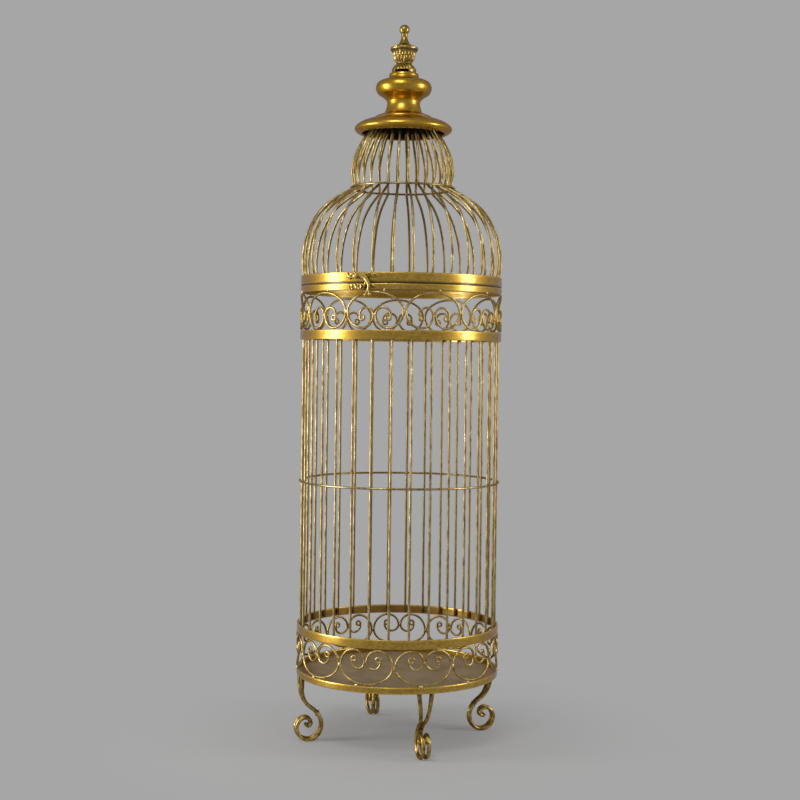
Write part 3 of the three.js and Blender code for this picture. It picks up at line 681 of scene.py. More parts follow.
def build_frieze(node, seed, upside_down, first_turn, widest, curl_level, shifts, nubs, nub_radii,
                 nub_beyond, nub_out):
    shape = Shape()
    low, high = levels(node)
    radius = CAGE_RADIUS - FRIEZE_INSET
    places = zip(turns(MOTIF_COUNT), shifts)
    joints = [first_turn + turn + radians(shift) for turn, shift in places]
    joints.append(joints[0] + 2 * pi)
    apart = FRIEZE_WIRE_RADIUS + 0.1 * MM
    start = low + FRIEZE_WIRE_RADIUS
    rise = high - low - 2 * FRIEZE_WIRE_RADIUS

    for k, (joint, next_joint) in enumerate(zip(joints, joints[1:])):
        middle = (joint + next_joint) / 2
        half_width = radius * (next_joint - joint) / 2 - apart

        def at(middle, across, up, proud=0.0):
            share = 1 - up if upside_down else up
            return on_cylinder(radius + proud, middle + across * half_width / radius, start + rise * share)

        left = motif_half(0.96 + 0.07 * ripple((k, seed, 1), 1.9), widest, curl_level)
        right = motif_half(1.04 + 0.07 * ripple((k, seed, 2), 1.9), widest, curl_level)
        path = []
        for across, up in [(-across, up) for across, up in reversed(left[1:])] + right:
            point = at(middle, across, up)
            inside = min(up, 1 - up, 1 - abs(across))
            point[2] += FRIEZE_SHAKE * min(1, 4 * inside) * ripple(point, 45, seed)
            path.append(point)
        from_tip = np.minimum(np.arange(len(path)), np.arange(len(path))[::-1])
        radii = FRIEZE_WIRE_RADIUS * np.minimum(FRIEZE_TIP_SHARE + 0.012 * from_tip, 1)
        add_tube(shape, path, radii, 0.07, 300, seed + k, sides=10)
        add_bead(shape, at(middle, 0, curl_level), CURL_BRAZE, middle, k + seed, 0.8, 0)
        add_bead(shape, at(next_joint, 0, widest), JOINT_BRAZE, next_joint, k + seed + 4, 1, 0)

        # Welds to the bars above and below, never quite in the middle
        place = at(middle, nubs[k], 0, nub_out)
        place[2] = high + nub_beyond if upside_down else low - nub_beyond
        add_bead(shape, place, nub_radii, middle, k + 7, 1, 0)
        for side in (-1, 1):
            off = side * (0.46 + 0.1 * ripple((k, seed, 8 + side), 2.1))
            add_bead(shape, at(middle, off, 1.005, 0.3 * MM), RING_WELD, middle, k + 9, 0.6, 0.1)
    shape.made(f"{node}_scrolls", "gilt_frieze", "cage_body", "gilt_frieze", node)


# Legs

# Side view of a leg rod from under the base ring to the end of its scroll, as shares of the leg's
# reach and height, in the same form as the motif's arcs
LEG_ARC_SHARES = [
    (0.114, 0.847, 0.716, 0.365, 0, -62),
    (2.2, 0.25, 2.2, 0.454, 142.7, 180),
    (0.5, 0.25, 0.5, 0.225, 180, 270),
    (0.5, 0.215, 0.5, 0.19, 270, 360),
    (0.65, 0.215, 0.35, 0.153, 0, 90),
    (0.65, 0.285, 0.21, 0.083, 90, 180),
    (0.535, 0.285, 0.095, 0.045, 180, 330),
]
LEG_ARC_STEP = 7
LEG_TURN = radians(37.9)
LEG_REACH = 41.2 * MM
LEG_INNERMOST = 126.5 * MM
LEG_TOP_SPREAD = 20.5 * MM
LEG_MID_SPREAD = 6.4 * MM
LEG_FOOT_SPREAD = 9.5 * MM
LEG_JOIN_SHARE = 0.53
LEG_WELD_SHARE = 0.44
LEG_SPLAY_SHARE = 0.34
LEG_DRAW_POWER = 0.75  # below 1 draws the rods together mostly near the point where they meet
FOOT_FLAT = 0.5 * MM
LEG_FLARE = 0.22
LEG_TAPER_SHARE = 0.86  # of a rod's length, where it starts to narrow
LEG_TOP_BEAD = mm(4.4, 2.2, 1.3)
LEG_TOP_BEAD_DROP = 0.6 * MM
LEG_WELD_BEAD = mm(1.4, 1.2, 2.1)


def leg_spread(up, past_bottom):
    if up >= LEG_JOIN_SHARE:
        share = ((up - LEG_JOIN_SHARE) / (1 - LEG_JOIN_SHARE)) ** LEG_DRAW_POWER
        return LEG_MID_SPREAD + (LEG_TOP_SPREAD - LEG_MID_SPREAD) * share
    share = 1 if past_bottom else min(1, max(0, 1 - up / LEG_SPLAY_SHARE))
    return LEG_MID_SPREAD + (LEG_FOOT_SPREAD - LEG_MID_SPREAD) * share


def build_leg(node, turn, seed):
    top = levels(node)[1]
    across, _, reach = LEG_ARC_SHARES[0][:3]
    side = [(across + reach, 1), *arc_chain(LEG_ARC_SHARES, LEG_ARC_STEP)]
    ups = [up for _, up in side]
    lowest_share = min(ups)
    bottom_step = ups.index(lowest_share)
    lowest = LEG_ROD_RADIUS - FOOT_FLAT
    shape = Shape()

    def level(up):
        return lowest + (up - lowest_share) / (1 - lowest_share) * (top - lowest)

    def at(aside, across, height):
        foot = on_cylinder(LEG_INNERMOST + across * LEG_REACH, turn, height)
        return foot + aside * np.array([cos(turn), sin(turn), 0.0])

    for hand in (-1, 1):
        path = smooth_line([
            at(hand * leg_spread(up, step > bottom_step) / 2, across, level(up))
            for step, (across, up) in enumerate(side)
        ], 2)
        along = np.linspace(0, 1, len(path))
        flare = 1 + LEG_FLARE * np.clip(1 - along / 0.03, 0, 1)
        taper = np.minimum(1 - (along - LEG_TAPER_SHARE) * 0.9, 1)
        soil_and_shade = np.clip(0.8 - along / 0.02, 0, 1) + np.clip((along - 0.9) * 4, 0, 0.5)
        add_tube(shape, path, LEG_ROD_RADIUS * flare * taper, 0.07, 140, seed * 3 + hand, sides=16,
                 grime_and_shade=soil_and_shade)
        foot = at(hand * LEG_TOP_SPREAD / 2, side[0][0], top - LEG_TOP_BEAD_DROP)
        add_bead(shape, foot, LEG_TOP_BEAD, turn, seed + hand, 0.1, 0.6)
    across, up = next(place for place in side if place[1] <= LEG_WELD_SHARE)
    for lift in (-3, 0, 3):
        for face in (-1, 1):
            out = across + (face * 1.1 - 0.35 * lift) * MM / LEG_REACH
            place = at(0.15 * MM * lift, out, level(up) + lift * MM)
            add_bead(shape, place, LEG_WELD_BEAD, turn, seed + lift, 0.3, 0.5)
    for points in shape.points:
        points[:, 2] = np.maximum(points[:, 2], 0)
    shape.made(f"{node}_rods", "gilt_leg", "cage_body", "gilt_leg", node)


# Dome wires

# Middle line of a dome wire above the rim: shares of the cage radius and of the dome's height
DOME_WIRE_SHARES = [
    (0.981, 0.06), (0.978, 0.17), (0.937, 0.305), (0.835, 0.445), (0.709, 0.53), (0.588, 0.582),
    (0.495, 0.624), (0.504, 0.74), (0.47, 0.86),
]
NECK_POINT = 8  # of the whole line, where the neck's hoop goes round
WIRE_STEPS = 6
WIRE_TOP_RADIUS = 54 * MM
WIRE_SETBACK = 2 * MM
WIRE_PUSH = 0.9 * MM
WIRE_LEAN = radians(0.5)
WIRE_BEAD = mm(2.6, 2.2, 2.4)
WIRE_BEAD_RISE = 3 * MM
NECK_BEAD = mm(2, 1.5, 1.5)
NECK_BEAD_INSET = 0.8 * MM
NECK_OVERLAP = 0.6 * MM
NECK_SEGMENTS = 128
NECK_WAVE = 0.5 * MM


def dome_wire_line():
    rim_bottom, rim_top = levels("dome_rim")
    dome_height = levels("crown")[0] - rim_top
    low_radius = BAND_INSIDE - DOME_WIRE_RADIUS - JOINT_GAP
    middle = [(across * CAGE_RADIUS, rim_top + up * dome_height) for across, up in DOME_WIRE_SHARES]
    ends = (low_radius, rim_bottom + WIRE_SETBACK), (low_radius, rim_top)
    return [*ends, *middle, (WIRE_TOP_RADIUS, levels("top_plate")[0] - JOINT_GAP)]


def build_dome_wires():
    shape = Shape()
    line = dome_wire_line()
    neck_radius, neck_height = line[NECK_POINT]
    out = neck_radius + DOME_WIRE_RADIUS + NECK_HOOP_RADIUS - NECK_OVERLAP
    profile = smooth_line(line, WIRE_STEPS)
    for k in range(BAR_COUNT):
        turn = bar_place(k)[0]
        lean = WIRE_LEAN * ripple((k * 2.7, 1, 0), 1.0)
        path = []
        for step, (radius, height) in enumerate(profile):
            share = step / (len(profile) - 1)
            push = WIRE_PUSH * sin(pi * share) * ripple((k * 4.3, share * 3, 2), 1.0)
            path.append(on_cylinder(radius + push, turn + lean * sin(pi * share), height))
        add_tube(shape, path, DOME_WIRE_RADIUS, 0.06, 330, k * 1.7, round_ends=False)
        add_bead(shape, path[0] + np.array([0, 0, WIRE_BEAD_RISE]), WIRE_BEAD, turn, k, 0, 0.6)
        place = on_cylinder(out - NECK_BEAD_INSET, turn, neck_height)
        add_bead(shape, place, NECK_BEAD, turn, k, 0.3, 0.3)
    path = circle(out, neck_height, NECK_SEGMENTS, NECK_WAVE, 11)
    add_tube(shape, path, NECK_HOOP_RADIUS, 0.06, 260, 6, closed=True)
    shape.made("dome_wires_bent", "gilt_dome_wire", "dome", "gilt_rod", "dome_wires")


# Crown

# Outline of the crown from the seat of the plate, round the lower edge and up to its top, in
# stretches that meet at a crease: shares of its radius and of its height
CROWN_STRETCH_SHARES = [
    [(0.66, 0.127)],
    [(0.837, 0.127)],
    [(0.84, 0.04), (0.865, 0.016), (0.915, 0.02), (0.968, 0.048), (1, 0.088), (0.985, 0.126),
     (0.948, 0.156), (0.85, 0.203), (0.73, 0.237), (0.6, 0.264)],
    [(0.595, 0.278), (0.56, 0.297), (0.5, 0.317), (0.44, 0.334), (0.4, 0.344)],
    [(0.383, 0.367), (0.356, 0.42), (0.338, 0.485), (0.342, 0.53), (0.364, 0.556), (0.405, 0.588),
     (0.463, 0.619), (0.525, 0.651), (0.556, 0.69), (0.572, 0.73), (0.573, 0.755), (0.558, 0.8),
     (0.535, 0.83), (0.47, 0.862), (0.39, 0.883), (0.318, 0.9)],
    [(0.306, 0.925), (0.302, 0.955), (0.293, 0.975), (0.27, 0.984)],
    [(0.1, 0.984)],
    [(0.12, 0.9)],
    [(0.2, 0.66), (0.2, 0.42), (0.42, 0.26), (0.62, 0.2)],
]
CROWN_SEAT_SHARES = (0.85, 0.128)  # within which the crown is hollow and black
CROWN_SEGMENTS = 128


def build_crown():
    low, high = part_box("crown")
    across, up = stretches(CROWN_STRETCH_SHARES, 6).T
    seat_across, seat_up = CROWN_SEAT_SHARES
    # The hollow inside the crown is painted black, as shade
    soil_and_shade = np.where((across < seat_across) & (up < seat_up), FULL_SHADE, 0.0)
    wear_and_highlight = np.interp(up, [0.06, 0.1, 0.15, 0.33, 0.37], [0.0, 0.5, 0.1, 0.2, 0.0])
    profile = zip(across * (high.x - low.x) / 2, low.z + up * (high.z - low.z))
    shape = Shape()
    add_turning(shape, profile, CROWN_SEGMENTS, wear_and_highlight, soil_and_shade, wrap=True)
    shape.made("crown_casting", "gilt_turned", "dome", "gilt_turned", "crown", crease=32)


# Finial

# Outline of the finial above its foot's edge: shares of its largest radius and of its height
FINIAL_STRETCH_SHARES = [
    [(0.2, -0.042)],
    [(0.5, -0.042)],
    [(0.5, 0.006)],
    [(0.8, 0.006)],
    [(0.81, -0.042)],
    [(0.86, -0.042), (0.875, -0.02), (0.87, 0.015), (0.85, 0.04), (0.79, 0.067), (0.7, 0.1),
     (0.61, 0.124)],
    [(0.57, 0.137), (0.55, 0.152), (0.56, 0.17)],
    [(0.61, 0.192), (0.69, 0.222), (0.745, 0.255), (0.77, 0.29), (0.775, 0.335), (0.795, 0.37),
     (0.85, 0.397), (0.905, 0.415)],
    [(0.965, 0.438), (0.995, 0.462), (1, 0.478), (0.97, 0.49), (0.9, 0.503), (0.82, 0.52)],
    [(0.68, 0.538), (0.54, 0.553), (0.44, 0.57), (0.38, 0.592), (0.33, 0.62), (0.275, 0.655),
     (0.235, 0.69), (0.215, 0.735), (0.215, 0.77)],
]
RECESS_POINTS = 8  # of the outline, under the foot
FINIAL_RADIUS = 22.9 * MM
FINIAL_SPIGOT_HEIGHT = 2.3 * MM
FINIAL_BALL_SHARE = 0.364
BALL_SETBACK = 0.7 * MM  # below the finial's height in the CAD
BALL_STEPS = 22
BALL_TIP = 0.1 * MM

# Carving of the finial: where each kind starts and ends as shares of the height, and how deep it is
GADROON_SHARES = (0.005, 0.125)
GADROON_COUNT = 20
GADROON_DEPTH = 1.8 * MM
FLUTE_SHARES = (0.165, 0.45)
FLUTE_COUNT = 17
FLUTE_DEPTH = 1.9 * MM
FLUTE_TIER_SHARE = 0.3  # where the upper tier of flutes and the leaves start
LEAF_TOP_SHARE = 0.42
LEAF_HALF_WIDTH = 16  # in degrees
LEAF_TURNS = (-12, 168)  # from the camera's side, in degrees
LIP_SHARES = (0.46, 0.5)
LIP_WAVE = 0.5 * MM
SLOT_TURNS = (-52, 24)  # ends of the slot under the foot, from the camera's side, in degrees
SLOT_INNER_SHARE = 0.805
GROOVE_LEVEL = 0.85  # of a rounded ridge's height, where it leaves the outline as it is


def arch(share, ends, power):
    return sin(pi * (share - ends[0]) / (ends[1] - ends[0])) ** power


def build_finial():
    low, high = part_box("finial")
    foot = low.z + FINIAL_SPIGOT_HEIGHT
    height = high.z - foot
    profile = [(across * FINIAL_RADIUS, foot + up * height)
               for across, up in stretches(FINIAL_STRETCH_SHARES, 7)]
    ball_radius = FINIAL_BALL_SHARE * FINIAL_RADIUS
    ball_middle = high.z - ball_radius - BALL_SETBACK
    start = asin(profile[-1][0] / ball_radius)
    for k in range(BALL_STEPS + 1):
        angle = start + (pi - start) * k / BALL_STEPS
        radius = max(ball_radius * sin(angle), BALL_TIP)
        profile.append((radius, ball_middle - ball_radius * cos(angle)))

    def warp(turn, r, z):
        share = (z - foot) / height
        side = degrees(remainder(turn - CAMERA_TURN, 2 * pi))
        in_slot = SLOT_TURNS[0] < side < SLOT_TURNS[1]
        if share < 0 and r > SLOT_INNER_SHARE * FINIAL_RADIUS and in_slot:
            z = foot
        if GADROON_SHARES[0] < share < GADROON_SHARES[1]:
            swirl = turn * GADROON_COUNT + 28 * share
            r += GADROON_DEPTH * arch(share, GADROON_SHARES, 0.5) * (abs(sin(swirl / 2)) - GROOVE_LEVEL)
        elif FLUTE_SHARES[0] < share < FLUTE_SHARES[1]:
            tier = pi * min(1, max(0, share - FLUTE_TIER_SHARE) / 0.02)
            swirl = turn * FLUTE_COUNT - 9 * share + tier
            r += FLUTE_DEPTH * arch(share, FLUTE_SHARES, 0.4) * (abs(cos(swirl / 2)) - GROOVE_LEVEL)
        if FLUTE_TIER_SHARE < share < LEAF_TOP_SHARE:
            leaf = max(bump_at(remainder(side - middle, 360), 0, LEAF_HALF_WIDTH) for middle in LEAF_TURNS)
            grown = min(1, (share - FLUTE_TIER_SHARE) / 0.1)
            r += 0.6 * leaf * grown * max(0, 0.95 * FINIAL_RADIUS - r)
        elif LIP_SHARES[0] <= share <= LIP_SHARES[1] and r > 0.8 * FINIAL_RADIUS:
            z += LIP_WAVE * cos(5 * turn - 1.2)
            r -= LIP_WAVE * (1 + cos(FLUTE_COUNT * turn)) / 2
        return r, z

    shares = (np.array(profile)[:, 1] - foot) / height
    # Darker round the neck above the gadroons, and a painted shade line under the lip
    soil_and_shade = np.interp(shares, [0.1, 0.14, 0.17, 0.2, 0.4, 0.425, 0.445, 0.46],
                     [0, 0.7, 0.5, 0, 0, 0.75, 0.75, 0])
    # The recess and the slot under the foot are painted black, as shade
    soil_and_shade[:RECESS_POINTS] = FULL_SHADE
    # A painted highlight round the lip's edge, laid on as lighter leaf
    wear_and_highlight = np.interp(shares, [0.455, 0.47, 0.5, 0.51], [0.1, 0.9, 0.9, 0.1])
    shape = Shape()
    add_turning(shape, profile, RING_SEGMENTS, wear_and_highlight, soil_and_shade, warp)
    shape.made("finial_casting", "gilt_cast", "dome", "gilt_turned", "finial", crease=38)


# Front plates

# Wavy outline of the front plates from the left end along the top and back along the bottom: shares
# of a plate's half width and half height
PLATE_TOP_SHARES = [
    (-1, 0.05), (-0.93, 0.75), (-0.74, 1), (-0.56, 0.8), (-0.42, 0.95), (-0.1, 1),
    (0.15, 0.72), (0.38, 0.98), (0.58, 0.62), (0.8, 0.7), (1, 0.1),
]
PLATE_BOTTOM_SHARES = [
    (-1, 0.05), (-0.93, -0.7), (-0.74, -1), (-0.55, -0.6), (-0.35, -0.75), (0, -0.95),
    (0.3, -0.75), (0.55, -0.3), (0.82, -0.45), (1, 0.1),
]
PLATE_COLUMNS = 113
PLATE_ROWS = 25
FITTING_THICKNESS = 1.6 * MM
FITTING_BACK = CAGE_RADIUS + JOINT_GAP
FITTING_FACE = FITTING_BACK + FITTING_THICKNESS
PLATE_EDGE_DROP = 0.8 * MM
PLATE_EDGE_REACH = 1.5 * MM
PLATE_CARVING = 0.4 * MM
PLATE_ROUGHNESS = 0.12 * MM
PIT_DEPTH = 1.15 * MM
SCREW_SETBACK = 1.3 * MM

# Countersunk holes in each plate: place across and height, radius
UPPER_PITS = [(-17.4, 746.1, 2), (-22, 743.1, 1)]
LOWER_PITS = [(-15, 728.6, 1.9), (17.5, 730.2, 0.8)]
SCREW_RADIUS = 1.2 * MM  # of the smallest hole that shows a screw's head

# Painted shadows round the hook, the stud and the screws, laid on in the grime colour: place across and
# height, half width and half height
UPPER_PAINTED_SHADOWS = [(1, 740.6, 9, 3), (15, 743.4, 5.5, 2.6), (-12, 741.3, 7, 1.3), (-20, 741.5, 3, 1.5)]
LOWER_PAINTED_SHADOWS = [(7, 728, 4, 4.5), (19, 727.5, 4, 2), (-19, 728.5, 1.6, 3), (-9.5, 725.6, 5, 1.4)]


def add_bent_sheet(shape, across, bottoms, tops, side, rows, face, marks):
    """Sheet bent to the cage, on its -1 side at the hook or its +1 side at the hinge. The radius of
    its face and its marks follow from the place across, the height and the distance to an edge."""
    columns = len(across)
    count = rows * columns
    front = []
    rear = []
    worn = []
    for i in range(rows):
        for x, bottom, top in zip(across, bottoms, tops):
            height = bottom + (top - bottom) * i / (rows - 1)
            edge = min(height - bottom, top - height, x - across[0], across[-1] - x)
            front.append((x, side * sqrt(face(x, height, edge) ** 2 - x**2), height))
            rear.append((x, side * sqrt(FITTING_BACK**2 - x**2), height))
            worn.append(marks(x, height, edge))
    faces = grid_faces(rows, columns, wrap_columns=False)
    faces += [[corner + count for corner in reversed(quad)] for quad in faces]
    last = count - columns
    rim = [*range(columns), *range(2 * columns - 1, count, columns), *range(count - 2, last - 1, -1),
           *range(last - columns, 0, -columns)]
    faces += [[b, a, a + count, b + count] for a, b in zip(rim, rim[1:] + rim[:1])]
    wear_and_highlight, grime_and_shade = np.array(worn).T
    shape.add(front + rear, faces, np.tile(wear_and_highlight, 2), np.append(grime_and_shade, np.full(count, FILM)))


def build_front_plate(node, body, pits, stains_and_shadows, seed):
    low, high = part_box(node)
    middle = (low.z + high.z) / 2
    across = np.linspace(-0.985, 0.985, PLATE_COLUMNS)
    outlines = []
    for table in (PLATE_BOTTOM_SHARES, PLATE_TOP_SHARES):
        line = smooth_line(table, 6)
        reach = np.maximum.accumulate(line[:, 0])
        up = np.clip(np.interp(across, reach, line[:, 1]), -1, 1)
        outlines.append(middle + up * (high.z - low.z) / 2)
    holes = [mm(*pit) for pit in pits]

    def nearest_hole(x, height):
        return min(hypot(x - hx, height - hz) / radius for hx, hz, radius in holes)

    def hollow(x, height):
        flow = 900 * x + 500 * (height - middle) + 2.5 * ripple((x * 60, height * 60, seed), 1.5)
        return 0.5 + 0.5 * sin(flow)

    def face(x, height, edge):
        roll = PLATE_EDGE_DROP * (1 - min(1, edge / PLATE_EDGE_REACH)) ** 2
        carve = PLATE_CARVING * hollow(x, height)
        carve += PLATE_ROUGHNESS * (1 + ripple((x, 0, height), 420, seed))
        hole = nearest_hole(x, height)
        pit = PIT_DEPTH * max(0, min(1, 2.4 - 2 * hole))
        flat = max(0, 1 - max(0, hole - 1) / 0.8)
        return FITTING_FACE - max(roll, carve * (1 - flat)) - pit

    def marks(x, height, edge):
        hole = nearest_hole(x, height)
        worn = max(1 - edge / (1.2 * MM), 1 - abs(hole - 1.4) / 0.35, 0)
        # Painted shadows round the hook, the stud and the screws
        painted_shadow = max(0.95 * bump_at(x / MM, sx, wide) * bump_at(height / MM, sz, tall)
                    for sx, sz, wide, tall in stains_and_shadows)
        shadow_and_grime = max(painted_shadow, 0.8 * hollow(x, height) ** 2 * (1 - worn))
        # The holes are painted black, as shade; the carved hollows take grime
        return worn * (1 - min(1, painted_shadow)), FULL_SHADE if hole < 1 else shadow_and_grime

    shape = Shape()
    half = (high.x - low.x) / 2
    add_bent_sheet(shape, across * half, *outlines, -1, PLATE_ROWS, face, marks)
    for x, z, radius in holes:
        if radius < SCREW_RADIUS:
            continue
        place = np.array([x, SCREW_SETBACK - FITTING_FACE, z])
        profile = [(0.7 * radius, 0), (0.7 * radius, 0.35 * MM), (0.5 * radius, 0.5 * MM), mm(0.05, 0.5)]
        add_button(shape, place, profile, (0, -1, 0), 16, 0.3, 0.7)
    shape.made(f"{node}_cast", "gilt_fitting", body, "gilt_fittings", node, crease=50)


# Rivet and stud. Each head: radius of its neck, its depth, and its profile as shares of its radius
# and depth

PIVOT_HEAD = (1.5 * MM, 1.2 * MM, [(0.97, 0), (1, 0.2), (0.93, 0.55), (0.7, 0.86), (0.4, 0.98), (0.03, 1)])
STUD_HEAD = (2.2 * MM, 2.6 * MM, [
    (0.95, 0), (1, 0.12), (0.99, 0.6), (0.93, 0.88), (0.8, 1), (0.7, 0.95), (0.58, 0.7), (0.36, 0.56),
    (0.03, 0.52),
])


def build_rivet(node, name, body, head):
    low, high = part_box(node)
    radius = (high.x - low.x) / 2
    neck, depth, head_shares = head
    under_head = high.y - low.y - depth
    profile = [(neck, 0), (neck, under_head)]
    profile += [(share * radius, under_head + up * depth) for share, up in head_shares]
    wear_and_highlight = [0, 0] + [0.8] * len(head_shares)
    grime_and_shade = [0.4, 0.6] + [0.9 if share < 0.4 and up < 0.8 else 0.0 for share, up in head_shares]
    shape = Shape()
    centre = np.array([(low.x + high.x) / 2, high.y, (low.z + high.z) / 2])
    add_button(shape, centre, profile, (0, -1, 0), 32, wear_and_highlight, grime_and_shade)
    shape.made(name, "gilt_fitting", body, "gilt_fittings", node)


# Hook, from its pivot: shares of the height between pivot and stud, and half widths along the way
# in millimetres
HOOK_PIVOT = (-9.5 * MM, 745.5 * MM)
HOOK_MEASURE = 16.7 * MM
HOOK_STRAP_SHARES = [
    (0.12, 0.05), (0.293, 0.1), (0.695, 0.054), (0.994, -0.162), (1.228, -0.485), (1.345, -0.808),
    (1.329, -1.084), (1.257, -1.29),
]
HOOK_STRAP_WIDTHS = (2.3, 2.7, 3.1, 3.1, 2.8, 2.3, 1.8, 1.3)
HOOK_TINE_SHARES = [
    [(1.27, -1.2), (1.2, -1.36), (1.114, -1.491), (1.006, -1.713)],
    [(1.27, -1.2), (1.33, -1.36), (1.395, -1.497), (1.455, -1.695)],
]
HOOK_TINE_WIDTHS = (1.1, 1, 1)
HOOK_CLAW_SHARES = [
    (1.2, -0.4), (1.102, -0.5), (1, -0.71), (0.9, -0.93), (0.78, -1.11), (0.65, -1.22),
    (0.467, -1.246), (0.335, -1.29),
]
HOOK_CLAW_WIDTHS = (1.2, 1.5, 1.2, 1, 0.9, 0.5)
HOOK_HALF_DEPTH = 1.1 * MM
HOOK_BRANCH_DEPTH = 0.95 * MM  # of the claw and the tines where they leave the strap
HOOK_EYE_RADIUS = 3.9 * MM
HOOK_EYE_HOLE = 1.75 * MM
HOOK_EYE_BEVEL = 0.35 * MM
HOOK_BALL_RADIUS = 2.3 * MM
HOOK_STRAP_SIDES = 14


def hook_place(x, z):
    return HOOK_PIVOT[0] + x * HOOK_MEASURE, HOOK_PIVOT[1] + z * HOOK_MEASURE


def tube_profile(hole, radius, bevel, start, end):
    """Section of a short tube with bevelled outer edges: radius and distance forward."""
    return [
        (hole, start), (radius - bevel, start), (radius, start + bevel),
        (radius, end - bevel), (radius - bevel, end), (hole, end),
    ]


def add_strap(shape, shares, middle_y, half_widths, half_depth, seed):
    """A flat bent strip with rounded edges, in the plane of the front plates."""
    line = smooth_line([hook_place(x, z) for x, z in shares], 6)
    places = np.linspace(0, 1, len(half_widths))
    widths = MM * np.interp(np.linspace(0, 1, len(line)), places, half_widths)
    tangents = np.gradient(line, axis=0)
    tangents /= np.linalg.norm(tangents, axis=1)[:, None]
    points = []
    for (x, z), (tx, tz), width in zip(line, tangents, widths):
        for angle in turns(HOOK_STRAP_SIDES):
            c, s = cos(angle), sin(angle)
            aside = width * copysign(abs(c) ** 0.8, c)
            depth = half_depth * copysign(abs(s) ** 0.6, s)
            dent = 1 + 0.06 * ripple((x + aside, depth, z), 500, seed)
            points.append((x - tz * aside * dent, middle_y + depth, z + tx * aside * dent))
    shape.add_rings(points, HOOK_STRAP_SIDES, 0.35, 0)


def build_hook():
    middle_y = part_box("latch_hook")[1].y - HOOK_HALF_DEPTH
    shape = Shape()
    eye = tube_profile(HOOK_EYE_HOLE, HOOK_EYE_RADIUS, HOOK_EYE_BEVEL, -HOOK_HALF_DEPTH, HOOK_HALF_DEPTH)
    centre = np.array([HOOK_PIVOT[0], middle_y, HOOK_PIVOT[1]])
    add_button(shape, centre, eye, (0, -1, 0), 36, 0.4, 0.2, wrap=True)
    add_strap(shape, HOOK_STRAP_SHARES, middle_y, HOOK_STRAP_WIDTHS, HOOK_HALF_DEPTH, 1)
    add_strap(shape, HOOK_CLAW_SHARES, middle_y, HOOK_CLAW_WIDTHS, HOOK_BRANCH_DEPTH, 3)
    for tine in HOOK_TINE_SHARES:
        add_strap(shape, tine, middle_y, HOOK_TINE_WIDTHS, HOOK_BRANCH_DEPTH, 2)
        x, z = hook_place(*tine[-1])
        place = np.array([x, middle_y + HOOK_HALF_DEPTH - HOOK_BALL_RADIUS, z])
        add_bead(shape, place, (HOOK_BALL_RADIUS,) * 3, 0, tine[-1][0], 0.9, 0, 14, 0.05)
    shape.made("latch_hook_strap", "gilt_fitting", "hook", "gilt_fittings", "latch_hook")


# Hinge

HINGE_HALF_WIDTH = 22 * MM
HINGE_PIN = (168.55 * MM, 735.2 * MM)  # its distance behind the axis and its height
HINGE_BORE = 1.65 * MM
KNUCKLE_RADIUS = 3.35 * MM
KNUCKLE_BEVEL = 0.3 * MM
KNUCKLE_GAP = 0.5 * MM
KNUCKLE_HALF = 7.92 * MM  # of the middle knuckle
LEAF_CORNER = 3 * MM
LEAF_NOTCH = 3.6 * MM  # from the pin's level to a leaf's edge beside the other leaf's knuckle
LEAF_COLUMNS = 89
LEAF_ROWS = 13
LEAF_EDGE_DROP = 0.4 * MM
LEAF_EDGE_REACH = 0.7 * MM
LEAF_WORN_EDGE = 1 * MM
LEAF_RIVET_ACROSS = 14.5 * MM
LEAF_RIVET_SETBACK = 0.3 * MM

# Radius and distance from the rivets' seats, and from each end of the pin
LEAF_RIVET_HEAD = [mm(2, 0), mm(1.9, 0.55), mm(1.3, 0.95), mm(0.6, 1.1), mm(0.05, 1.12)]
PIN_END = [mm(0.1, 0), mm(1.25, 0.06), mm(2.2, 0.35), mm(2.5, 0.8), mm(2.4, 1.2), mm(1.4, 1.2)]


def build_hinge_leaf(node, name, body, is_upper):
    low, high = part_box(node)
    pin_level = HINGE_PIN[1]
    across = np.linspace(-HINGE_HALF_WIDTH, HINGE_HALF_WIDTH, LEAF_COLUMNS)
    corner = np.clip(LEAF_CORNER - (HINGE_HALF_WIDTH - np.abs(across)), 0, LEAF_CORNER)
    rounding = LEAF_CORNER - np.sqrt(LEAF_CORNER**2 - corner**2)
    in_middle = np.abs(across) < KNUCKLE_HALF + KNUCKLE_GAP / 2
    if is_upper:
        bottoms = pin_level + np.where(in_middle, KNUCKLE_GAP, LEAF_NOTCH)
        tops = high.z - rounding
        spans = [(-KNUCKLE_HALF, KNUCKLE_HALF)]
        rivet_level = (tops.min() + bottoms.max()) / 2
    else:
        bottoms = low.z + rounding
        tops = pin_level - np.where(in_middle, LEAF_NOTCH, KNUCKLE_GAP)
        edge = KNUCKLE_HALF + KNUCKLE_GAP
        spans = [(-HINGE_HALF_WIDTH, -edge), (edge, HINGE_HALF_WIDTH)]
        rivet_level = (bottoms.min() + tops.min()) / 2

    def face(x, height, edge):
        return FITTING_FACE - LEAF_EDGE_DROP * (1 - min(1, edge / LEAF_EDGE_REACH)) ** 2

    def marks(x, height, edge):
        return max(0, 1 - edge / LEAF_WORN_EDGE), 0.1

    shape = Shape()
    add_bent_sheet(shape, across, bottoms, tops, 1, LEAF_ROWS, face, marks)
    for span in spans:
        knuckle = tube_profile(HINGE_BORE, KNUCKLE_RADIUS, KNUCKLE_BEVEL, *span)
        add_button(shape, (0, *HINGE_PIN), knuckle, (1, 0, 0), 32, 0.4, 0.15, wrap=True)
    for x in (-LEAF_RIVET_ACROSS, LEAF_RIVET_ACROSS):
        place = (x, sqrt(FITTING_FACE**2 - x**2) - LEAF_RIVET_SETBACK, rivet_level)
        add_button(shape, place, LEAF_RIVET_HEAD, (0, 1, 0), 24, 0.6, 0)
    shape.made(name, "gilt_fitting", body, "gilt_fittings", node)


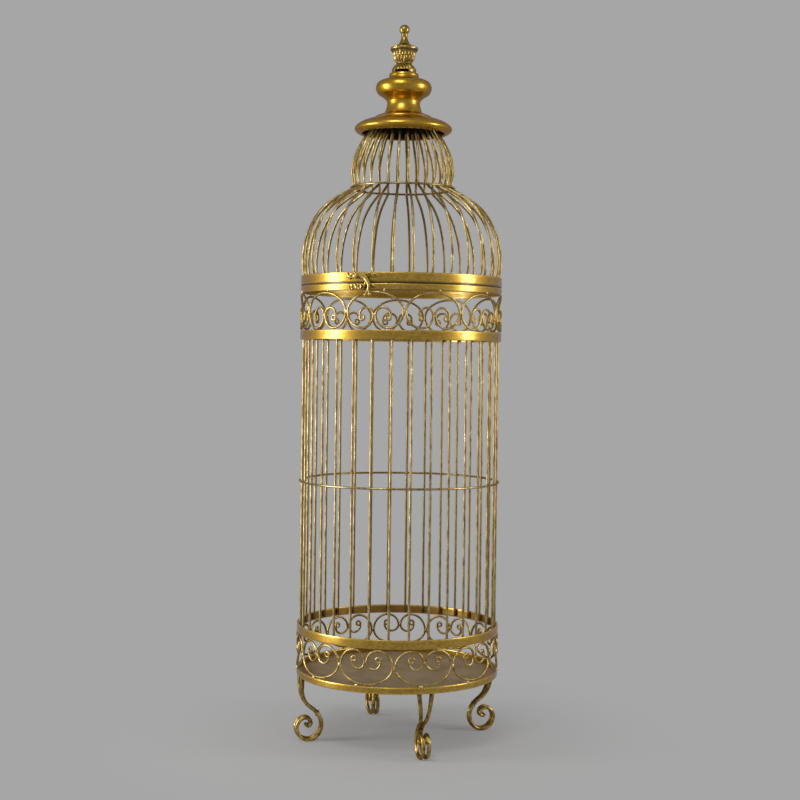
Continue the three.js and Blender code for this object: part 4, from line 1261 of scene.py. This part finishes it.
def build_hinge_pin():
    low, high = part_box("hinge_pin")
    profile = [(radius, low.x + reach) for radius, reach in PIN_END]
    profile += [(radius, high.x - reach) for radius, reach in reversed(PIN_END)]
    shape = Shape()
    add_button(shape, (0, *HINGE_PIN), profile, (1, 0, 0), 24, 0.5, 0.1)
    shape.made("hinge_pin_riveted", "gilt_fitting", "cage_body", "gilt_fittings", "hinge_pin")


# Inside of the crown, and floor sheet

FLOOR_ROWS = 30
FLOOR_SEGMENTS = 96
FLOOR_EDGE = 0.3 * MM
FLOOR_DENT = 0.12 * MM


def paint_inner_metal_black_as_shade():
    # Paints the plate, rod and nut inside the crown near black, as shade
    for node in ("top_plate", "tie_rod", "tie_rod_nut"):
        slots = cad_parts[node].data.materials
        slots.clear()
        slots.append(SHADE_BLACK_STEEL)


def build_floor_sheet():
    bottom, top = levels("floor_sheet")
    edge = CAGE_RADIUS - BASE_RING_THICKNESS - JOINT_GAP
    profile = [
        (FLOOR_EDGE, bottom), (edge - 0.2 * MM, bottom), (edge, bottom + FLOOR_EDGE),
        (edge, top - FLOOR_EDGE), *((edge * sqrt(1 - k / FLOOR_ROWS), top) for k in range(FLOOR_ROWS)),
        (FLOOR_EDGE, top),
    ]

    def warp(turn, radius, height):
        point = on_cylinder(radius, turn, 0)
        rise = FLOOR_DENT * (ripple(point, 22, 3) - 0.8) if height == top else 0.0
        return radius, height + rise

    shape = Shape()
    add_turning(shape, profile, FLOOR_SEGMENTS, warp=warp)
    shape.made("floor_sheet_disc", "floor_coat", "cage_body", "floor_paint", "floor_sheet")


# Studio

STUDIO_GREY = (0.381, 0.381, 0.381)
FLOOR_GREY = (0.43, 0.43, 0.43)
FLOOR_FADE = (0.1, 0.5)  # metres from the cage's axis where the floor melts into the surround
FLOOR_CLEARNESS = 0.3  # of the floor at its middle, which keeps its shadows soft
STUDIO_RINGS = (0.0005, 0.3, 0.6, 1.0, 1.5, 2.3)
STUDIO_SEGMENTS = 96
LAMP_TARGET = Vector((0, 0, 0.62))
LAMP_COLOUR = (1.0, 0.985, 0.96)

# Each soft box: turn from the camera's side, height, distance, width, height of the box, watts
SOFT_BOXES = {
    "left_box": (-78, 0.75, 1.9, 0.6, 1.5, 31),
    "right_box": (77, 1.05, 1.9, 0.48, 1.3, 17),
    "top_box": (-20, 2.4, 1.6, 0.85, 0.6, 15.5),
}


def build_studio():
    """A round floor that fades into a plain grey surround."""
    material, tree, shader, place = new_material("studio_floor")
    feed(tree, shader, {"Base Color": (*FLOOR_GREY, 1), "Roughness": 0.9, "Specular IOR Level": 0.1})
    reach = shader_node(tree, "VectorMath", {0: place}, operation="LENGTH").outputs["Value"]
    fade = spread(tree, reach, *FLOOR_FADE, FLOOR_CLEARNESS, 1.0)
    clear = shader_node(tree, "BsdfTransparent")
    mix = shader_node(tree, "MixShader", {0: fade, 1: shader.outputs[0], 2: clear.outputs[0]})
    feed(tree, tree.nodes["Material Output"], {"Surface": mix.outputs[0]})

    points = [on_cylinder(radius, turn, 0) for radius in STUDIO_RINGS for turn in turns(STUDIO_SEGMENTS)]
    mesh = bpy.data.meshes.new("studio_floor")
    mesh.from_pydata(np.array(points).tolist(), [], grid_faces(len(STUDIO_RINGS), STUDIO_SEGMENTS))
    mesh.materials.append(material)
    add_to_scene("studio_floor", mesh)

    world = bpy.data.worlds.new("studio_surround")
    world.use_nodes = True
    world.node_tree.nodes["Background"].inputs["Color"].default_value = (*STUDIO_GREY, 1)
    SCENE.world = world


def build_lamps():
    for name, (turn, height, distance, width, tall, watts) in SOFT_BOXES.items():
        lamp = bpy.data.lights.new(name, "AREA")
        lamp.shape = "RECTANGLE"
        lamp.size = width
        lamp.size_y = tall
        lamp.energy = watts
        lamp.color = LAMP_COLOUR
        piece = add_to_scene(name, lamp)
        piece.location = on_cylinder(distance, CAMERA_TURN + radians(turn), height)
        piece.rotation_euler = (LAMP_TARGET - piece.location).to_track_quat("-Z", "Y").to_euler()
        piece.visible_camera = False


def build_camera():
    data = bpy.data.cameras.new("camera")
    data.lens = LENS
    data.sensor_width = SENSOR_WIDTH
    data.shift_x = SHIFT_ACROSS
    data.shift_y = SHIFT_UP
    camera = add_to_scene("camera", data)
    camera.location = on_cylinder(CAMERA_DISTANCE, CAMERA_TURN, EYE_HEIGHT)
    level = Vector((0, 0, EYE_HEIGHT)) - camera.location
    facing = level.to_track_quat("-Z", "Y").to_matrix()
    camera.rotation_euler = (facing @ Matrix.Rotation(CAMERA_ROLL, 3, "Z")).to_euler()
    SCENE.camera = camera


build_flat_rings()
build_bars()
build_mid_hoop()
for frieze, values in FRIEZES.items():
    build_frieze(frieze, **values)
for k in range(LEG_COUNT):
    build_leg(f"leg_{k + 1}", LEG_TURN + turns(LEG_COUNT)[k], k)
build_dome_wires()
build_crown()
build_finial()
build_front_plate("latch_upper_plate", "dome", UPPER_PITS, UPPER_PAINTED_SHADOWS, 1.0)
build_front_plate("latch_lower_plate", "cage_body", LOWER_PITS, LOWER_PAINTED_SHADOWS, 5.0)
build_rivet("latch_pivot_rivet", "latch_pivot_head", "dome", PIVOT_HEAD)
build_rivet("latch_stud", "latch_stud_head", "cage_body", STUD_HEAD)
build_hook()
build_hinge_leaf("hinge_lower_leaf", "hinge_lower_plate", "cage_body", False)
build_hinge_leaf("hinge_upper_leaf", "hinge_upper_plate", "dome", True)
build_hinge_pin()
paint_inner_metal_black_as_shade()
build_floor_sheet()

build_studio()
build_lamps()
build_camera()
SCENE.view_settings.view_transform = "Standard"
